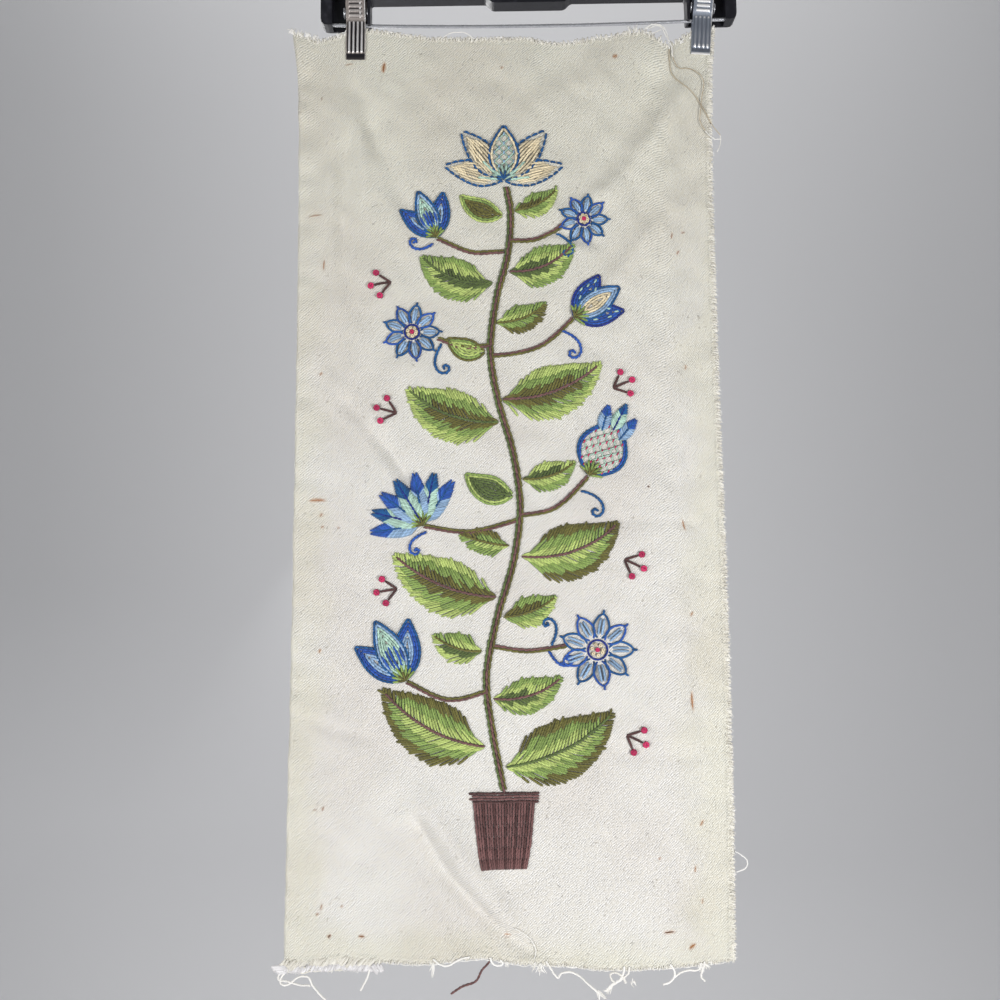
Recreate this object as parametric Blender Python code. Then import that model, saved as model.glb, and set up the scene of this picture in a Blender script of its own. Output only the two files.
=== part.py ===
"""Crewel embroidery panel gripped by the two pinch clips of a trouser hanger.

A length of cotton twill with raw, frayed edges hangs from two pressed clips on
the steel rod of a moulded hanger. Raised wool motifs stand on its face: a pot,
a winding stem, leaves and flowers. Sizes are in metres. +Z is up and -Y is the
worked face. The origin is the inside of the hook's crown.
"""

import math
import random

import bmesh
import bpy
from mathutils import Matrix, Vector

# Driving dimensions.
CLOTH_THICKNESS = 0.0012
PIECE_GAP = 0.0003
HANGER_TILT = math.radians(0.9)
HANGER_HALF_WIDTH = 0.1885
HANGER_FRONT = -0.005
HANGER_BACK = 0.009
ROD_RADIUS = 0.0015
ROD_END_HEIGHT = -0.101
ROD_SAG = 0.0038
CLIP_WIDTH = 0.0175
HOOK_RADIUS = 0.022
HOOK_WIRE_RADIUS = 0.0019
DESIGN_X = -0.021
WELD_DISTANCE = 0.00005

# The cloth is laid out over s, across from the left edge, and t, down from the
# top edge. Each edge is a table of (share along the edge, place of the edge).
CLOTH_COLUMNS = 26
CLOTH_ROWS = 40
LEFT_EDGE_X = [(0.0, -0.2136), (0.02, -0.2105), (0.05, -0.2078), (0.12, -0.2058),
               (0.31, -0.2040), (0.59, -0.2042), (1.0, -0.2049)]
RIGHT_EDGE_X = [(0.0, 0.1702), (0.05, 0.1668), (0.12, 0.1652), (0.2, 0.1650),
                (0.39, 0.1673), (0.59, 0.1712), (0.84, 0.1739), (1.0, 0.1729)]
TOP_EDGE_Z = [(0.0, -0.1115), (0.063, -0.1205), (0.129, -0.1120), (0.152, -0.1095),
              (0.19, -0.1093), (0.24, -0.1120), (0.315, -0.1165), (0.446, -0.1175),
              (0.56, -0.1160), (0.61, -0.1215), (0.66, -0.1215), (0.73, -0.1160),
              (0.824, -0.1110), (0.859, -0.1150), (0.893, -0.1265), (0.926, -0.1150),
              (0.966, -0.1070), (1.0, -0.1075)]
BOTTOM_EDGE_Z = [(0.0, -0.9265), (0.12, -0.9268), (0.242, -0.9266), (0.33, -0.9252),
                 (0.38, -0.9222), (0.45, -0.9220), (0.517, -0.9276), (0.69, -0.9299),
                 (0.91, -0.9299), (1.0, -0.9268)]

# Soft folds: from (x0, z0) to (x1, z1), half width, and depth. A trough is
# positive, away from the face, and a ridge is negative.
FOLDS = [
    # x0, z0, x1, z1, half_width, depth
    (-0.161, -0.151, -0.145, -0.198, 0.0110, 0.0024),
    (-0.138, -0.211, -0.110, -0.269, 0.0110, 0.0026),
    (-0.164, -0.223, -0.160, -0.360, 0.0110, 0.0018),
    (0.143, -0.165, 0.075, -0.263, 0.0110, -0.0040),
    (0.126, -0.149, 0.060, -0.248, 0.0110, 0.0024),
    (0.068, -0.260, 0.018, -0.312, 0.0110, -0.0023),
    (0.113, -0.293, 0.066, -0.357, 0.0110, -0.0023),
    (-0.159, -0.454, -0.098, -0.528, 0.0100, 0.0030),
    (-0.093, -0.817, -0.041, -0.886, 0.0110, 0.0046),
    (-0.081, -0.808, -0.023, -0.884, 0.0100, -0.0034),
    (-0.106, -0.826, -0.050, -0.902, 0.0150, 0.0056),
    (-0.171, -0.150, -0.185, -0.420, 0.0120, -0.0024),
    (0.118, -0.128, 0.010, -0.190, 0.0180, -0.0020),
    (0.166, -0.160, 0.150, -0.480, 0.0110, -0.0022),
    (-0.170, -0.420, -0.158, -0.900, 0.0200, 0.0026),
    (0.112, -0.560, 0.124, -0.900, 0.0220, -0.0026),
    (0.152, -0.620, 0.150, -0.900, 0.0120, 0.0020),
]
BELLY = 0.0055
BELLY_HALF_WIDTH = 0.190
HEM_WAVE = 0.0036
HEM_WAVE_LENGTH = 0.145
HEM_WAVE_START = -0.640

# Long threads that ravelled loose but hold in the frayed edge: where they leave
# the backing, then their bends from there, across and up.
LOOSE_THREADS = {
    "bottom": [
        (0.004, [(-0.0034, -0.0040), (-0.0017, -0.0095), (0.0059, -0.0080), (0.0134, -0.0062),
                 (0.0210, -0.0072), (0.0250, -0.0112), (0.0293, -0.0160), (0.0360, -0.0243)]),
        (0.189, [(-0.0050, -0.0110), (-0.0084, -0.0174)]),
        (0.579, [(0.0092, -0.0110), (0.0151, -0.0083), (0.0226, -0.0081), (0.0327, -0.0110),
                 (0.0420, -0.0190), (0.0444, -0.0260)]),
        (0.762, [(-0.0042, -0.0063), (-0.0100, -0.0103), (-0.0193, -0.0174)]),
        (0.857, [(0.0025, -0.0063), (-0.0017, -0.0119), (-0.0084, -0.0126)]),
        (0.935, [(-0.0042, -0.0079), (-0.0008, -0.0134)]),
    ],
    "right": [(0.889, [(0.0093, -0.0064), (0.0085, -0.0128), (0.0005, -0.0170)])],
}
THREAD_RADIUS = 0.00042
# One doubled thread hangs over the top edge beside the right clip: its two runs
# from the top edge down, x and z.
DOUBLED_THREAD_BACK = [
    (0.1066, -0.1095), (0.1121, -0.1047), (0.1185, -0.1040), (0.1248, -0.1076),
    (0.1283, -0.1181), (0.1291, -0.1276), (0.1289, -0.1370), (0.1314, -0.1512),
    (0.1403, -0.1616), (0.1510, -0.1710), (0.1572, -0.1823), (0.1624, -0.1927),
    (0.1686, -0.2020), (0.1738, -0.2086), (0.1737, -0.2160), (0.1699, -0.2254)]
DOUBLED_THREAD_FRONT = [
    (0.1111, -0.1085), (0.1166, -0.1057), (0.1221, -0.1076), (0.1265, -0.1162),
    (0.1309, -0.1257), (0.1317, -0.1352), (0.1370, -0.1456), (0.1469, -0.1465),
    (0.1559, -0.1522), (0.1594, -0.1607), (0.1573, -0.1739), (0.1563, -0.1833),
    (0.1551, -0.1964), (0.1595, -0.2058), (0.1675, -0.2123), (0.1711, -0.2140)]

# Pinch clips: centre along the rod and lean, both in the world.
CLIPS = [
    # side, x, lean in degrees
    ("left", -0.1554, 0.0),
    ("right", 0.1592, 3.4),
]
# The cloth lies flat near each clip and takes up its folds further out.
GRIP_HEIGHT = -0.118
GRIP_FLAT = 0.026
GRIP_EASE = 0.064

# The pot and the stem, from the design's axis: x, z.
POT_TOP = -0.786
POT_BOTTOM = -0.850
POT_TOP_WIDTH = 0.056
POT_BOTTOM_WIDTH = 0.040
STEM_WIDTH = 0.0052
STEM_POINTS = [(0.000, -0.7835), (-0.010, -0.735), (-0.015, -0.690), (-0.006, -0.640),
               (0.008, -0.592), (0.014, -0.545), (0.008, -0.498), (-0.005, -0.452),
               (-0.012, -0.408), (-0.007, -0.362), (0.003, -0.322), (0.006, -0.285),
               (0.002, -0.258)]

# Leaves: base x and z from the design's axis, heading in degrees with 90 up,
# length, width, and the turn of the midrib from base to tip in degrees.
LEAVES = [
    # x, z, heading, length, width, turn
    (-0.0165, -0.748, 174, 0.104, 0.052, -46),
    (-0.0195, -0.668, 184, 0.046, 0.026, -46),
    (-0.0070, -0.622, 178, 0.100, 0.048, -42),
    (0.0040, -0.578, 176, 0.046, 0.022, -20),
    (0.0080, -0.534, 178, 0.048, 0.026, -46),
    (-0.0050, -0.470, 184, 0.090, 0.046, -50),
    (-0.0165, -0.408, 184, 0.038, 0.021, -50),
    (-0.0105, -0.346, 188, 0.072, 0.038, -60),
    (-0.0010, -0.284, 178, 0.045, 0.022, -50),
    (0.0020, -0.765, 6, 0.106, 0.052, 42),
    (-0.0085, -0.708, -8, 0.064, 0.030, 52),
    (0.0000, -0.639, 2, 0.050, 0.026, 40),
    (0.0155, -0.587, -8, 0.094, 0.048, 56),
    (0.0165, -0.520, -6, 0.050, 0.026, 50),
    (-0.0010, -0.450, -2, 0.096, 0.047, 46),
    (-0.0065, -0.382, -2, 0.050, 0.025, 50),
    (0.0050, -0.336, -4, 0.066, 0.034, 58),
    (0.0100, -0.280, 4, 0.045, 0.022, 52),
]

# Flowers: kind, centre x and z from the design's axis, heading in degrees and
# size. Petals of each kind: turn from the heading, start along the turn,
# length and width. The heart is how far up the heading a kind's middle lies.
FLOWERS = [
    # kind, x, z, heading, size
    ("tulip", -0.084, -0.693, 118, 1.0),
    ("daisy", 0.080, -0.667, 0, 1.0),
    ("carnation", -0.070, -0.560, 122, 1.0),
    ("pomegranate", 0.074, -0.517, 62, 1.0),
    ("daisy", -0.081, -0.390, 0, 0.78),
    ("bell", 0.062, -0.377, 34, 1.0),
    ("tulip", -0.060, -0.304, 112, 0.8),
    ("daisy", 0.071, -0.288, 0, 0.68),
    ("crown", 0.000, -0.251, 90, 1.0),
]
FLOWER_PETALS = {
    "tulip": [(-30, 0.0, 0.054, 0.025), (30, 0.0, 0.054, 0.025), (0, 0.0, 0.059, 0.027)],
    "daisy": [(40 * turn, 0.009, 0.024, 0.017) for turn in range(9)],
    "carnation": [(22 * turn, 0.0, 0.050, 0.016) for turn in range(-3, 4)],
    "pomegranate": [(0, 0.0, 0.056, 0.046), (-12, 0.040, 0.026, 0.012),
                    (0, 0.044, 0.028, 0.012), (12, 0.040, 0.026, 0.012)],
    "bell": [(-26, 0.0, 0.046, 0.023), (26, 0.0, 0.046, 0.023), (0, 0.0, 0.050, 0.025)],
    "crown": [(-76, 0.0, 0.056, 0.024), (76, 0.0, 0.056, 0.024), (-40, 0.0, 0.060, 0.026),
              (40, 0.0, 0.060, 0.026), (0, 0.0, 0.052, 0.029)],
}
FLOWER_HEART = {"tulip": 0.026, "daisy": 0.0, "carnation": 0.024, "pomegranate": 0.028,
                "bell": 0.022, "crown": 0.022}
WOOL_CLEARANCE = 0.0005
WOOL_HEIGHT = 0.0017

for old in list(bpy.data.objects):
    bpy.data.objects.remove(old, do_unlink=True)

PARTS = bpy.data.collections.new("crewel_panel_on_hanger")
bpy.context.scene.collection.children.link(PARTS)
CUTTERS = bpy.data.collections.new("cutters")
bpy.context.scene.collection.children.link(CUTTERS)


def make_material(name, colour, roughness, metallic=0.0):
    """A Principled material of one colour."""
    material = bpy.data.materials.new(name)
    material.use_nodes = True
    shader = material.node_tree.nodes["Principled BSDF"]
    shader.inputs["Base Color"].default_value = (*colour, 1.0)
    shader.inputs["Roughness"].default_value = roughness
    shader.inputs["Metallic"].default_value = metallic
    return material


TWILL = make_material("unbleached_twill", (0.70, 0.66, 0.56), 0.92)
RAVELLED = make_material("ravelled_cotton", (0.78, 0.74, 0.64), 0.95)
BROWN_WOOL = make_material("brown_wool", (0.13, 0.065, 0.06), 0.9)
STEM_WOOL = make_material("olive_wool", (0.12, 0.14, 0.045), 0.9)
LEAF_WOOLS = [make_material("light_green_wool", (0.33, 0.44, 0.16), 0.9),
              make_material("mid_green_wool", (0.17, 0.23, 0.08), 0.9)]
BLUE_WOOL = make_material("blue_wool", (0.05, 0.14, 0.36), 0.9)
CREAM_WOOL = make_material("cream_wool", (0.80, 0.68, 0.48), 0.9)
BLACK_PLASTIC = make_material("black_plastic", (0.012, 0.012, 0.014), 0.4)
BRIGHT_STEEL = make_material("bright_steel", (0.72, 0.72, 0.71), 0.22, 1.0)


def link_mesh(name, shape, material, collection=PARTS):
    """Puts a finished bmesh in the scene as one named object."""
    mesh = bpy.data.meshes.new(name)
    shape.to_mesh(mesh)
    shape.free()
    mesh.materials.append(material)
    piece = bpy.data.objects.new(name, mesh)
    collection.objects.link(piece)
    return piece


def place_under_hanger(piece):
    """Gives a piece the hanger's small tilt about the hook."""
    piece.parent = hanger_axis


def mesh_of(piece):
    """A welded mesh object with the evaluated shape of a curve object, which it replaces."""
    bpy.context.view_layer.update()
    evaluated = piece.evaluated_get(bpy.context.evaluated_depsgraph_get())
    mesh = bpy.data.meshes.new_from_object(evaluated)
    shape = bmesh.new()
    shape.from_mesh(mesh)
    bmesh.ops.remove_doubles(shape, verts=shape.verts, dist=WELD_DISTANCE)
    bmesh.ops.recalc_face_normals(shape, faces=shape.faces)
    shape.to_mesh(mesh)
    shape.free()
    solid = bpy.data.objects.new(piece.name, mesh)
    solid.matrix_world = piece.matrix_world
    name = piece.name
    for collection in list(piece.users_collection):
        collection.objects.link(solid)
    bpy.data.objects.remove(piece, do_unlink=True)
    solid.name = name
    return solid


def add_wire(name, points, radius, material, sides=2, collection=PARTS):
    """A round wire or thread along points, with closed ends."""
    curve = bpy.data.curves.new(name, "CURVE")
    curve.dimensions = "3D"
    curve.bevel_depth = radius
    curve.bevel_resolution = sides
    curve.use_fill_caps = True
    spline = curve.splines.new("POLY")
    spline.points.add(len(points) - 1)
    for point, place in zip(spline.points, points):
        point.co = (*place, 1.0)
    curve.materials.append(material)
    wire = bpy.data.objects.new(name, curve)
    collection.objects.link(wire)
    return wire


def join_or_cut(piece, tool, operation):
    """An exact Boolean kept on the piece, with its tool as a hidden guide."""
    tool.hide_render = True
    tool.display_type = "WIRE"
    boolean = piece.modifiers.new(tool.name, "BOOLEAN")
    boolean.operation = operation
    boolean.solver = "EXACT"
    boolean.object = tool


def between(rows, share):
    """Reads a table of (share, value) at a share, with straight runs between rows."""
    for (low, first), (high, last) in zip(rows, rows[1:]):
        if share <= high:
            return first + (last - first) * (share - low) / (high - low)
    return rows[-1][1]


def ease(low, high, value):
    """Rises smoothly from 0 at low to 1 at high."""
    share = min(1.0, max(0.0, (value - low) / (high - low)))
    return share * share * (3.0 - 2.0 * share)


def smooth_path(points, steps):
    """A smooth curve through points, with some steps in each stretch."""
    path = []
    count = len(points)
    for index in range(count - 1):
        before = Vector(points[max(index - 1, 0)])
        start = Vector(points[index])
        end = Vector(points[index + 1])
        after = Vector(points[min(index + 2, count - 1)])
        for step in range(steps):
            share = step / steps
            path.append(0.5 * (2.0 * start + (end - before) * share
                               + (2.0 * before - 5.0 * start + 4.0 * end - after) * share ** 2
                               + (3.0 * start - before - 3.0 * end + after) * share ** 3))
    path.append(Vector(points[-1]))
    return path


# The hanging cloth.
def cloth_place(s, t):
    """Where the cloth point at s across and t down lies in x and z."""
    left = between(LEFT_EDGE_X, t)
    right = between(RIGHT_EDGE_X, t)
    top = between(TOP_EDGE_Z, s)
    bottom = between(BOTTOM_EDGE_Z, s)
    return left + (right - left) * s, top + (bottom - top) * t


def fold_depth(fold, x, z):
    """How far one soft fold moves the cloth at x, z."""
    x0, z0, x1, z1, half_width, depth = fold
    length = math.hypot(x1 - x0, z1 - z0)
    along_x = (x1 - x0) / length
    along_z = (z1 - z0) / length
    along = (x - x0) * along_x + (z - z0) * along_z
    across = (x - x0) * along_z - (z - z0) * along_x
    past = max(0.0, -along, along - length)
    side = math.exp(-(across / half_width) ** 2)
    end = math.exp(-(past / (1.6 * half_width)) ** 2)
    return depth * side * end


def cloth_depth(x, z):
    """Depth of the middle of the cloth at x, z. The clips hold it flat in their jaws."""
    depth = sum(fold_depth(fold, x, z) for fold in FOLDS)
    across = (x - 0.5 * (LEFT_EDGE_X[3][1] + RIGHT_EDGE_X[3][1])) / BELLY_HALF_WIDTH
    depth -= BELLY * max(0.0, 1.0 - across * across) * ease(-0.125, -0.330, z)
    hem = ease(HEM_WAVE_START, BOTTOM_EDGE_Z[0][1], z)
    depth += HEM_WAVE * hem * math.sin(math.tau * (x + 0.030) / HEM_WAVE_LENGTH)
    for _, clip_x, _ in CLIPS:
        depth *= ease(GRIP_FLAT, GRIP_EASE, math.hypot(x - clip_x, z - GRIP_HEIGHT))
    return depth


SHEET = [[cloth_place(column / CLOTH_COLUMNS, row / CLOTH_ROWS)
          for column in range(CLOTH_COLUMNS + 1)] for row in range(CLOTH_ROWS + 1)]
SHEET_DEPTH = [[cloth_depth(x, z) for x, z in line] for line in SHEET]


def cloth_face(x, z):
    """Depth of the faceted front face at x, z: the nearer of a cell's two ways to split."""
    s, t = 0.5, 0.5
    for _ in range(8):
        left = between(LEFT_EDGE_X, t)
        right = between(RIGHT_EDGE_X, t)
        s = min(1.0, max(0.0, (x - left) / (right - left)))
        top = between(TOP_EDGE_Z, s)
        bottom = between(BOTTOM_EDGE_Z, s)
        t = min(1.0, max(0.0, (z - top) / (bottom - top)))
    column = min(int(s * CLOTH_COLUMNS), CLOTH_COLUMNS - 1)
    row = min(int(t * CLOTH_ROWS), CLOTH_ROWS - 1)
    a = s * CLOTH_COLUMNS - column
    b = t * CLOTH_ROWS - row
    y00 = SHEET_DEPTH[row][column]
    y10 = SHEET_DEPTH[row][column + 1]
    y01 = SHEET_DEPTH[row + 1][column]
    y11 = SHEET_DEPTH[row + 1][column + 1]
    if a > b:
        first = y00 + a * (y10 - y00) + b * (y11 - y10)
    else:
        first = y00 + b * (y01 - y00) + a * (y11 - y01)
    if a + b < 1.0:
        second = y00 + a * (y10 - y00) + b * (y01 - y00)
    else:
        second = y11 + (1.0 - a) * (y01 - y11) + (1.0 - b) * (y10 - y11)
    return min(first, second) - 0.5 * CLOTH_THICKNESS


def plate_grid(columns, rows):
    """A closed plate of cells. Its vertices have x and y in -1..1 and z 0 behind, 1 in front."""
    shape = bmesh.new()
    bmesh.ops.create_grid(shape, x_segments=columns, y_segments=rows, size=1.0)
    back = list(shape.faces)
    front = bmesh.ops.extrude_face_region(shape, geom=back, use_keep_orig=True)["geom"]
    for vertex in front:
        if isinstance(vertex, bmesh.types.BMVert):
            vertex.co.z = 1.0
    return shape


def finish_plate(name, shape, place, material):
    """Moves each vertex of a plate grid to place(a, b, front) and adds the piece."""
    for vertex in shape.verts:
        vertex.co = place(vertex.co.x, vertex.co.y, vertex.co.z > 0.5)
    bmesh.ops.recalc_face_normals(shape, faces=shape.faces)
    return link_mesh(name, shape, material)


def cloth_vertex(a, b, front):
    """Place of a vertex of the cloth's grid."""
    column = round((a + 1.0) / 2.0 * CLOTH_COLUMNS)
    row = round((1.0 - b) / 2.0 * CLOTH_ROWS)
    x, z = SHEET[row][column]
    side = -0.5 if front else 0.5
    return Vector((x, SHEET_DEPTH[row][column] + side * CLOTH_THICKNESS, z))


finish_plate("cloth", plate_grid(CLOTH_COLUMNS, CLOTH_ROWS), cloth_vertex, TWILL)


# Frayed edges: a narrow backing strip along each raw edge, with threads fused to it.
def edge_place(edge, share):
    """Point on the middle of the cloth's top, bottom or right edge, at a share of its length."""
    steps = CLOTH_ROWS if edge == "right" else CLOTH_COLUMNS
    index = min(int(share * steps), steps - 1)
    part = share * steps - index
    ends = []
    for step in (index, index + 1):
        row, column = {"top": (0, step), "bottom": (CLOTH_ROWS, step),
                       "right": (step, CLOTH_COLUMNS)}[edge]
        x, z = SHEET[row][column]
        ends.append(Vector((x, SHEET_DEPTH[row][column], z)))
    return ends[0].lerp(ends[1], part)


EDGE_OUT = {"top": Vector((0, 0, 1)), "bottom": Vector((0, 0, -1)), "right": Vector((1, 0, 0))}
STRIP_WIDTH = 0.0014
STRIP_THICKNESS = 0.0010
STRIP_GAP = 0.00045
THREAD_CLEARANCE = 0.0011
FRINGES = [
    # edge, threads, length at first and at last, shares it changes between, lean, seed
    ("top", 2 * CLOTH_COLUMNS, 0.0030, 0.0018, 0.03, 0.20, 0.006, 3),
    ("right", 3 * CLOTH_ROWS // 2, 0.0030, 0.0030, 0.0, 1.0, 0.003, 5),
    ("bottom", 2 * CLOTH_COLUMNS, 0.0058, 0.0018, 0.26, 0.36, 0.008, 7),
]


def add_fringe(edge, threads, first, last, low, high, lean, seed):
    """A backing strip of twice as many cells as threads, and a tapered thread on every other cell."""
    draw = random.Random(seed)
    shape = plate_grid(2 * threads, 1)
    tips = [face for face in shape.faces
            if face.calc_center_median().y > 0.999 and abs(face.normal.y) > 0.5]
    tips.sort(key=lambda face: face.calc_center_median().x)
    for index, face in enumerate(tips[::2]):
        share = (face.calc_center_median().x + 1.0) / 2.0
        reach = (first + (last - first) * ease(low, high, share)) * draw.uniform(0.55, 1.15)
        slant = lean * draw.uniform(-1.0, 1.0)
        grown = bmesh.ops.extrude_discrete_faces(shape, faces=[face])["faces"][0]
        middle = grown.calc_center_median()
        for vertex in grown.verts:
            vertex.co.x = middle.x + 0.5 * (vertex.co.x - middle.x) + slant
            vertex.co.z = 0.5 + 0.55 * (vertex.co.z - 0.5)
            vertex.co.y = 1.0 + 2.0 * reach / STRIP_WIDTH
    out = EDGE_OUT[edge]
    for vertex in shape.verts:
        share = min(1.0, max(0.0, (vertex.co.x + 1.0) / 2.0))
        base = edge_place(edge, share)
        height = STRIP_GAP + 0.5 * STRIP_WIDTH * (vertex.co.y + 1.0)
        depth = (0.5 - vertex.co.z) * STRIP_THICKNESS
        vertex.co = base + out * height + Vector((0.0, depth, 0.0))
    bmesh.ops.recalc_face_normals(shape, faces=shape.faces)
    return link_mesh(edge + "_fringe", shape, RAVELLED)


def fuse_loose_threads(fringe, edge):
    """Fuses the long loose threads of an edge into the backing of its fringe."""
    for index, (share, bends) in enumerate(LOOSE_THREADS[edge]):
        root = edge_place(edge, share) + EDGE_OUT[edge] * (STRIP_GAP + 0.5 * STRIP_WIDTH)
        path = [root] + [root + Vector((x, -0.0008, z)) for x, z in bends]
        thread = add_wire(edge + "_thread_" + str(index), smooth_path(path, 2), THREAD_RADIUS,
                          RAVELLED, 0, CUTTERS)
        join_or_cut(fringe, mesh_of(thread), "UNION")


def add_doubled_thread():
    """The doubled thread, laid over the top edge and down the face."""
    front = [(x, z, THREAD_CLEARANCE + 3.2 * THREAD_RADIUS) for x, z in DOUBLED_THREAD_FRONT]
    back = [(x, z, THREAD_CLEARANCE) for x, z in DOUBLED_THREAD_BACK]
    path = [(x, cloth_face(x, z) - lift, z) for x, z, lift in smooth_path(front[::-1] + back, 2)]
    add_wire("doubled_thread", path, THREAD_RADIUS, RAVELLED, 0)


for edge, *measures in FRINGES:
    fringe = add_fringe(edge, *measures)
    if edge in LOOSE_THREADS:
        fuse_loose_threads(fringe, edge)
add_doubled_thread()


# Raised wool motifs.
def wool_place(x, z, front, height):
    """A wool point over the cloth: behind, clear of it; in front, standing by the height."""
    depth = cloth_face(x, z) - WOOL_CLEARANCE
    if front:
        depth -= height
    return Vector((x, depth, z))


def leaf_half_width(t, width):
    """Half width of a leaf or petal at t from base to tip."""
    swell = math.sin(math.pi * min(0.985, max(0.02, t)) ** 0.82)
    return 0.5 * width * max(0.05, swell) ** 0.9


def add_leaf(name, x, z, heading, length, width, turn, material, cells):
    """A leaf on a midrib that turns evenly, crowned across its width."""
    steps = 24
    path = [Vector((DESIGN_X + x, z))]
    for step in range(steps):
        angle = math.radians(heading + turn * (step + 0.5) / steps)
        path.append(path[-1] + Vector((math.cos(angle), math.sin(angle))) * length / steps)

    def place(a, b, front):
        t = (a + 1.0) / 2.0
        index = min(int(t * steps), steps - 1)
        middle = path[index].lerp(path[index + 1], t * steps - index)
        angle = math.radians(heading + turn * t)
        spread = b * leaf_half_width(t, width)
        height = WOOL_HEIGHT * (1.0 - 0.45 * b * b)
        return wool_place(middle.x - math.sin(angle) * spread,
                          middle.y + math.cos(angle) * spread, front, height)

    return finish_plate(name, plate_grid(*cells), place, material)


LONGEST_REACH = 0.085
SHORTEST_REACH = 0.004
REACH_STEP = 0.0006


def petal_reach(kind, size, turn):
    """How far the petals of a flower reach from its heart in a direction, turned from its heading."""
    heart = FLOWER_HEART[kind] * size
    reach = LONGEST_REACH * size
    while reach > SHORTEST_REACH * size:
        x = heart + reach * math.cos(turn)
        z = reach * math.sin(turn)
        for petal_turn, start, length, width in FLOWER_PETALS[kind]:
            angle = math.radians(petal_turn)
            along = (x * math.cos(angle) + z * math.sin(angle)) / size - start
            across = (z * math.cos(angle) - x * math.sin(angle)) / size
            t = along / length
            if 0.0 < t < 1.0 and abs(across) < leaf_half_width(t, width):
                return reach
        reach -= REACH_STEP
    return reach


def add_flower(name, kind, x, z, heading, size, material, cells):
    """A flower over the whole spread of its petals, highest at its heart."""
    facing = math.radians(heading)
    heart = Vector((DESIGN_X + x, z)) + FLOWER_HEART[kind] * size * Vector(
        (math.cos(facing), math.sin(facing)))

    def place(a, b, front):
        disc_x = a * math.sqrt(1.0 - b * b / 2.0)
        disc_z = b * math.sqrt(1.0 - a * a / 2.0)
        out = math.hypot(disc_x, disc_z)
        turn = math.atan2(disc_z, disc_x)
        reach = petal_reach(kind, size, turn) * out
        angle = facing + turn
        height = WOOL_HEIGHT * (1.0 - 0.45 * out * out)
        return wool_place(heart.x + reach * math.cos(angle),
                          heart.y + reach * math.sin(angle), front, height)

    return finish_plate(name, plate_grid(cells, cells), place, material)


def add_stem():
    """The winding stem, one raised line from the pot to the top flower."""
    path = smooth_path(STEM_POINTS, 4)
    cells = len(path) - 1

    def place(a, b, front):
        index = round((a + 1.0) / 2.0 * cells)
        ahead = path[min(index + 1, cells)] - path[max(index - 1, 0)]
        across = Vector((-ahead.y, ahead.x)).normalized()
        point = path[index] + across * b * 0.5 * STEM_WIDTH
        return wool_place(DESIGN_X + point.x, point.y, front, WOOL_HEIGHT * 0.8)

    return finish_plate("stem", plate_grid(cells, 1), place, STEM_WOOL)


def add_pot():
    """The stitched pot, wider at its mouth."""

    def place(a, b, front):
        share = (b + 1.0) / 2.0
        width = POT_BOTTOM_WIDTH + (POT_TOP_WIDTH - POT_BOTTOM_WIDTH) * share ** 0.7
        height = WOOL_HEIGHT * (1.0 - 0.4 * a * a)
        z = POT_BOTTOM + (POT_TOP - POT_BOTTOM) * share
        return wool_place(DESIGN_X + 0.5 * width * a, z, front, height)

    return finish_plate("pot", plate_grid(6, 6), place, BROWN_WOOL)


LARGE_LEAF = 0.06
LARGE_LEAF_CELLS = (7, 3)
SMALL_LEAF_CELLS = (5, 2)
LARGE_FLOWER = 0.9
LARGE_FLOWER_CELLS = 7
SMALL_FLOWER_CELLS = 5
add_pot()
add_stem()
for number, leaf in enumerate(LEAVES, 1):
    cells = LARGE_LEAF_CELLS if leaf[3] > LARGE_LEAF else SMALL_LEAF_CELLS
    add_leaf("leaf_" + str(number), *leaf, LEAF_WOOLS[number % 2], cells)
for number, flower in enumerate(FLOWERS, 1):
    wool = CREAM_WOOL if flower[0] == "crown" else BLUE_WOOL
    cells = LARGE_FLOWER_CELLS if flower[4] > LARGE_FLOWER else SMALL_FLOWER_CELLS
    add_flower("flower_" + str(number), *flower, wool, cells)


# The hanger: a moulding with a forked recess at each end, a steel rod and a wire hook.
hanger_axis = bpy.data.objects.new("hanger_axis", None)
PARTS.objects.link(hanger_axis)
hanger_axis.rotation_euler = (0.0, -HANGER_TILT, 0.0)

BEAM_TOP = -0.064
BEAM_BOTTOM = -0.079
BOSS_HALF_WIDTH = 0.033
BOSS_TOP = -0.059
BOSS_BOTTOM = -0.085
END_INNER = 0.1436
END_BOTTOM = -0.1036
END_WALL_OUTER = 0.1785
END_WALL_INNER = 0.1462
RECESS_TOP = -0.0675
RECESS_BACK = 0.0072
CUT_PAST = 0.010
# Half of the moulding's outline from the bottom of the boss to its top: x, z and
# the radius that rounds the corner.
HALF_OUTLINE = [
    # x, z, corner radius
    (BOSS_HALF_WIDTH, BOSS_BOTTOM, 0.003),
    (BOSS_HALF_WIDTH + 0.006, BEAM_BOTTOM, 0.002),
    (END_INNER, BEAM_BOTTOM, 0.002),
    (END_INNER, END_BOTTOM, 0.0012),
    (HANGER_HALF_WIDTH, END_BOTTOM, 0.006),
    (HANGER_HALF_WIDTH, BEAM_TOP, 0.008),
    (BOSS_HALF_WIDTH, BEAM_TOP, 0.004),
    (BOSS_HALF_WIDTH - 0.004, BOSS_TOP, 0.003),
]


def rounded_outline(corners, steps=3):
    """Points of a closed outline whose corners are rounded by their radius."""
    points = []
    count = len(corners)
    for index, (x, z, radius) in enumerate(corners):
        corner = Vector((x, z))
        before = (Vector(corners[index - 1][:2]) - corner).normalized()
        after = (Vector(corners[(index + 1) % count][:2]) - corner).normalized()
        for step in range(steps + 1):
            share = step / steps
            first = corner + before * radius * (1.0 - share)
            last = corner + after * radius * share
            points.append(first.lerp(last, share))
    return points


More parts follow.
